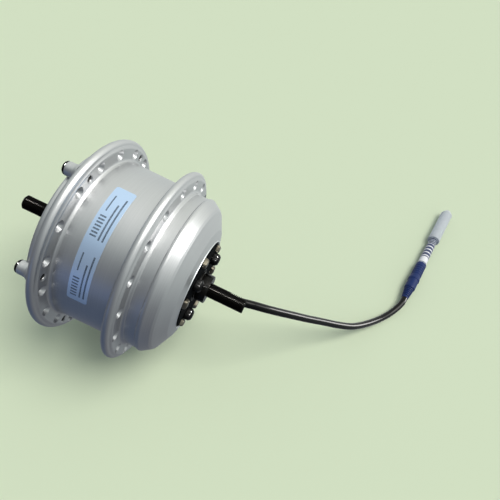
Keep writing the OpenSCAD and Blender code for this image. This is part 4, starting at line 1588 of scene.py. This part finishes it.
    def build(self) -> list[bpy.types.Object]:
        """Returns:
            The cable and the plug's pieces.
        """
        cable = settle(self.tube(), Body.AXLE, CABLE_JACKET, "cable_black", "motor_cable")
        start = self.boot_l + self.body_l
        end = start + self.sleeve_l
        sleeve = self.laid("plug_sleeve_ringed", rounded([
            Corner(0, start), Corner(3.95, start), Corner(4.0, start + 0.4, 0.2), Corner(4.0, end),
            Corner(0, end)]))
        settle(sleeve, Body.AXLE, SLEEVE_FILM, "sleeve_blue", "plug_sleeve")
        near, far = start + 2, start + 32
        tag = self.laid("plug_tag_white", [(4.01, near), (4.3, near), (4.3, far), (4.01, far)])
        settle(tag, Body.AXLE, TAG_FILM, "label_film", "plug_tag")
        cap = self.laid("plug_cap_milky", rounded([
            Corner(4.02, end), Corner(4.02, end - 8, 0.1), Corner(5.9, end - 8, 0.3),
            Corner(6.3, end - 7.4, 0.4), Corner(6.3, end - 5.5, 0.3), Corner(6.05, end - 5.0, 0.4),
            Corner(6.05, end + 39, 0.8),
            Corner(6.3, end + 40, 0.5), Corner(6.3, end + 42, 1.0), Corner(3.3, end + 48, 0.8),
            Corner(0, end + 48), Corner(0, end)]))
        settle(cap, Body.AXLE, CAP_CLEAR, "cap_clear", "plug_cap")
        ends = [self.boot(), self.body(), sleeve, tag, cap]
        LOG.info("cable length %.1f mm", self.length())
        round(self.length() * MM, 4)
        return [cable, *ends]


# Pieces inside the motor, whose CAD shapes stay

INSIDE: dict[str, Finish] = {
    "cable_bearing_inner": BEARING_STEEL, "cable_bearing_outer": BEARING_STEEL,
    "cable_bearing_balls": BEARING_STEEL, "cover_bearing_inner": BEARING_STEEL,
    "cover_bearing_outer": BEARING_STEEL, "cover_bearing_balls": BEARING_STEEL,
    "rotor_bearing_inners": BEARING_STEEL, "rotor_bearing_balls": BEARING_STEEL,
    "rotor_bearing_outers": BEARING_STEEL, "stator_core": ELECTRICAL_STEEL,
    "stator_insulators": INSULATOR, "stator_coils": COPPER_WIRE, "hall_board": BOARD,
    "hall_sensors": SENSOR_PLASTIC, "motor_leads": LEAD_SILICONE, "clutch_hub": GEAR_STEEL,
    "clutch_key": KEY_STEEL, "clutch_rollers": BEARING_STEEL, "planet_carrier": PLAIN_ALUMINIUM,
    "planet_pins": BRIGHT_STEEL, "planet_clips": BLACK_OXIDE, "ring_gear": GEAR_STEEL,
    "rotor_can": ROTOR_STEEL, "rotor_magnets": MAGNET, "sun_gear": GEAR_STEEL,
    "planet_gear_a": NYLON, "planet_gear_b": NYLON, "planet_gear_c": NYLON,
    "planet_bush_a": SINTERED_BRONZE, "planet_bush_b": SINTERED_BRONZE,
    "planet_bush_c": SINTERED_BRONZE, "cable_inner": CABLE_JACKET,
}


# Camera, floor and light


@dataclass
class Viewpoint:
    """The photograph's camera, solved from the two rings of spoke holes.

    right, down and forward are its axes in the row frame, place is in millimetres, and lens is for a film
    36 mm wide.
    """

    right: Point3 = (0.3549807, -0.9009574, 0.2495286)
    down: Point3 = (-0.7499628, -0.4337954, -0.499377)
    forward: Point3 = (0.5581617, -0.009868, -0.8296735)
    place: Point3 = (-143.5618, -83.24355, 243.7926)
    lens: float = 29.9986
    shift: Point = (-0.0229116, 0.0746932)

    def build(self) -> bpy.types.Object:
        """Makes the camera and makes it the scene's own.

        Returns:
            The camera.
        """
        data = bpy.data.cameras.new("viewpoint")
        data.sensor_fit = "HORIZONTAL"
        data.sensor_width = 36.0
        data.lens = self.lens
        data.shift_x, data.shift_y = self.shift
        data.clip_start, data.clip_end = 0.01, 20.0
        camera = bpy.data.objects.new("viewpoint", data)
        columns = Matrix((self.right, [-v for v in self.down], [-v for v in self.forward])).transposed()
        camera.matrix_world = Matrix.Translation(Vector(self.place) * MM) @ columns.to_4x4()
        bpy.context.scene.collection.objects.link(camera)
        bpy.context.scene.camera = camera
        return camera


@dataclass(frozen=True)
class Lamp:
    """One lamp, which shines along a direction, or from a place towards the hub.

    Attributes:
        name: The lamp's name.
        kind: Blender's lamp type.
        towards: Direction from the hub to the lamp; for an area lamp its length is its distance in metres.
        energy: Strength.
        colour: Its colour.
        width: Width of an area lamp in metres, or of a sun in radians.
        lights: Finishes of the only pieces that it lights; it lights everything where none is given.
    """

    name: str
    kind: str
    towards: Point3
    energy: float
    colour: Point3
    width: float
    lights: tuple[Finish, ...] = ()


# Where the small highlights of the black parts come from
ABOVE_RIGHT = (0.05, -0.45, 0.75)
# One soft sun and two large weak lamps for the whole motor; the rest draw small highlights on dark pieces
LAMPS = (
    Lamp("sun_soft", "SUN", (0.15, -0.35, 1.0), 1.86, (1.035, 1.0, 0.945), math.radians(38)),
    Lamp("window_right", "AREA", (0.25, -0.62, 0.42), 2.0, (1.0, 0.99, 0.97), 0.34),
    Lamp("glow_left", "AREA", (-0.72, 0.30, -0.02), 0.09, (0.25, 0.45, 1.0), 0.3),
    Lamp("spark", "AREA", ABOVE_RIGHT, 420.0, (1.0, 0.98, 0.95), 0.22, (BLACK_SCREW,)),
    Lamp("sheen", "AREA", ABOVE_RIGHT, 90.0, (1.0, 0.95, 0.88), 0.2, (BLACK_OXIDE,)),
    Lamp("streak", "AREA", (0.51, -0.77, 0.20), 6.0, (1.0, 0.98, 0.95), 0.3, (CABLE_JACKET,)),
    # edge_light lights only the ring of painted highlight over the recess's lip
    Lamp("edge_light", "AREA", ABOVE_RIGHT, 8.0, (1.0, 1.0, 1.0), 0.3, (PAINTED_HIGHLIGHT_METAL,)),
)


@dataclass
class Studio:
    """A plain pale green floor under even daylight from above and behind.

    Attributes:
        floor_colour: sRGB hex value of the floor, and of the backdrop that the camera sees past it.
        floor_drop: How far the floor lies below the motor's lowest point.
        open_sky: What lights matt surfaces, in bands round Z: places from -1 to 1 with the colour there.
        mirrored_sky: What glossy surfaces mirror, in bands round the way the light came from.
        open_strength: Brightness of the open sky.
        mirrored_axis: Direction of the mirrored sky's brightest band.
        mirrored_strength: Brightness of the mirrored sky.
    """

    floor_colour: str = "#D3E0C3"
    floor_drop: float = 0.02
    open_sky: tuple[tuple[float, Point3], ...] = (
        (-1.0, (0.10, 0.12, 0.24)), (-0.06, (0.14, 0.17, 0.28)), (0.0, (0.837, 0.891, 0.954)),
        (1.0, (0.837, 0.891, 0.954)))
    mirrored_sky: tuple[tuple[float, Point3], ...] = (
        (-1.0, (0.06, 0.085, 0.14)), (-0.6, (0.145, 0.15, 0.16)), (-0.2, (0.21, 0.23, 0.24)),
        (0.2, (0.52, 0.56, 0.54)), (0.6, (0.64, 0.67, 0.65)), (1.0, (0.84, 0.87, 0.80)))
    open_strength: float = 0.5
    mirrored_axis: Point3 = (0.72, -0.26, 0.64)
    mirrored_strength: float = 1.5

    def floor(self) -> None:
        """Lays the floor that the motor rests on; it sends no light back onto the motor."""
        data = bmesh.new()
        bmesh.ops.create_grid(data, x_segments=4, y_segments=4, size=3.0)
        mesh = bpy.data.meshes.new("floor")
        data.to_mesh(mesh)
        data.free()
        floor = bpy.data.objects.new("floor", mesh)
        floor.location = (0, 0, (FLOOR_LEVEL - self.floor_drop) * MM)
        bpy.context.scene.collection.objects.link(floor)
        made = bpy.data.materials.new("floor_paint")
        made.use_nodes = True
        shader = made.node_tree.nodes["Principled BSDF"]
        shader.inputs["Base Color"].default_value = linear(self.floor_colour)
        shader.inputs["Roughness"].default_value = 1.0
        shader.inputs["Specular IOR Level"].default_value = 0.0
        mesh.materials.append(made)
        floor.visible_diffuse = False
        floor.visible_glossy = False

    def world(self) -> None:
        """Fills the scene with light: rays from glossy surfaces meet one sky, those from matt ones the other.

        The camera's own rays meet a plain backdrop in the floor's colour.
        """
        world = bpy.data.worlds.new("daylight")
        world.use_nodes = True
        tree = world.node_tree
        even = self.sky(tree, (0.0, 0.0, 1.0), self.open_sky, self.open_strength)
        mirrored = self.sky(tree, self.mirrored_axis, self.mirrored_sky, self.mirrored_strength)
        rays = add(tree, "LightPath")
        lighting = add(tree, "MixShader", {0: rays.outputs["Is Glossy Ray"], 1: even, 2: mirrored})
        backdrop = add(tree, "Background", {"Color": linear(self.floor_colour), "Strength": 1.0})
        seen = add(tree, "MixShader", {0: rays.outputs["Is Camera Ray"], 1: lighting.outputs[0],
                                       2: backdrop.outputs[0]})
        tree.links.new(seen.outputs[0], tree.nodes["World Output"].inputs["Surface"])
        bpy.context.scene.world = world

    def sky(self, tree: bpy.types.NodeTree, axis: Point3, bands: tuple[tuple[float, Point3], ...],
            strength: float) -> bpy.types.NodeSocket:
        """Light in bands round an axis, like a lamp's glow in a room.

        Args:
            tree: The world's node tree.
            axis: Direction of the band at 1; the band at -1 lies opposite.
            bands: Places along the axis with the colour there, lowest first.
            strength: Brightness.

        Returns:
            The shader socket.
        """
        way = add(tree, "TexCoord").outputs["Generated"]
        along = add(tree, "VectorMath", {0: way, 1: axis}, operation="DOT_PRODUCT")
        share = add(tree, "MapRange", {"Value": along.outputs["Value"], "From Min": -1.0, "From Max": 1.0})
        ramp = add(tree, "ValToRGB", {"Fac": share.outputs[0]})
        stops = ramp.color_ramp.elements
        while len(stops) < len(bands):
            stops.new(0.5)
        for stop, (z, colour) in zip(stops, bands):
            stop.position = (z + 1) / 2
            stop.color = (*colour, 1.0)
        return add(tree, "Background", {"Color": ramp.outputs[0], "Strength": strength}).outputs[0]

    def glints(self, lamp: bpy.types.Object, finishes: Sequence[Finish]) -> None:
        """Keeps a lamp to the pieces with some finishes, so that it lights nothing else.

        Args:
            lamp: The lamp.
            finishes: Finishes of the pieces that it lights.
        """
        lit = bpy.data.collections.new(f"lit_by_{lamp.name}")
        names = {finish.name for finish in finishes}
        for piece in bpy.context.scene.objects:
            if piece.type not in ("MESH", "CURVE"):
                continue
            if names & {slot.material.name for slot in piece.material_slots if slot.material}:
                lit.objects.link(piece)
        lamp.light_linking.receiver_collection = lit

    def lamp(self, plan: Lamp) -> bpy.types.Object:
        """Adds one lamp; only the sun lights matt surfaces, the others are seen as highlights alone.

        Args:
            plan: What it is like.

        Returns:
            The lamp.
        """
        data = bpy.data.lights.new(plan.name, plan.kind)
        data.energy = plan.energy
        data.color = plan.colour
        setattr(data, "angle" if plan.kind == "SUN" else "size", plan.width)
        lamp = bpy.data.objects.new(plan.name, data)
        lamp.location = plan.towards
        lamp.visible_diffuse = plan.kind == "SUN"
        lamp.visible_camera = False
        lamp.rotation_euler = Vector(plan.towards).to_track_quat("Z", "Y").to_euler()
        bpy.context.scene.collection.objects.link(lamp)
        if plan.lights:
            self.glints(lamp, plan.lights)
        return lamp

    def build(self) -> None:
        """Sets floor, world and lamps."""
        self.floor()
        self.world()
        for plan in LAMPS:
            self.lamp(plan)


# The whole motor

COVER_SCREWS = SocketScrews(
    "cover_screw_set", "black_screw", "cover_screws", circle_r=60.0, first=25.8, seat_h=36.7, outwards=1,
    head_r=4.0, head_t=1.6, crown=0.5, socket_r=1.45, socket_depth=1.3, shank_r=1.98, shank_l=12.75)
MOUNT_SCREWS = SocketScrews(
    "mount_screw_set", "black_screw", "mount_screws", circle_r=20.5, first=58.0, seat_h=-49.4, outwards=-1,
    head_r=4.25, head_t=5.0, crown=1.3, socket_r=2.3, socket_depth=2.6, shank_r=2.48, shank_l=9.7,
    count=4, flutes=36)


def main() -> None:
    """Builds the scene: camera, dressed pieces, the looks of those inside, floor and light."""
    logging.basicConfig(level=logging.INFO, format="%(message)s")
    bpy.context.scene.view_settings.view_transform = "Standard"
    Viewpoint().build()
    builders = [MotorCable(), ShellCasting(), EndCover(), COVER_SCREWS, CableEndDiscs(), MOUNT_SCREWS,
                AxleBar(), AxleRings(), DrumLabel()]
    for builder in builders:
        builder.build()
    for node, finish in INSIDE.items():
        dress_node(node, finish)
    Studio().build()


if __name__ == "__main__":
    main()
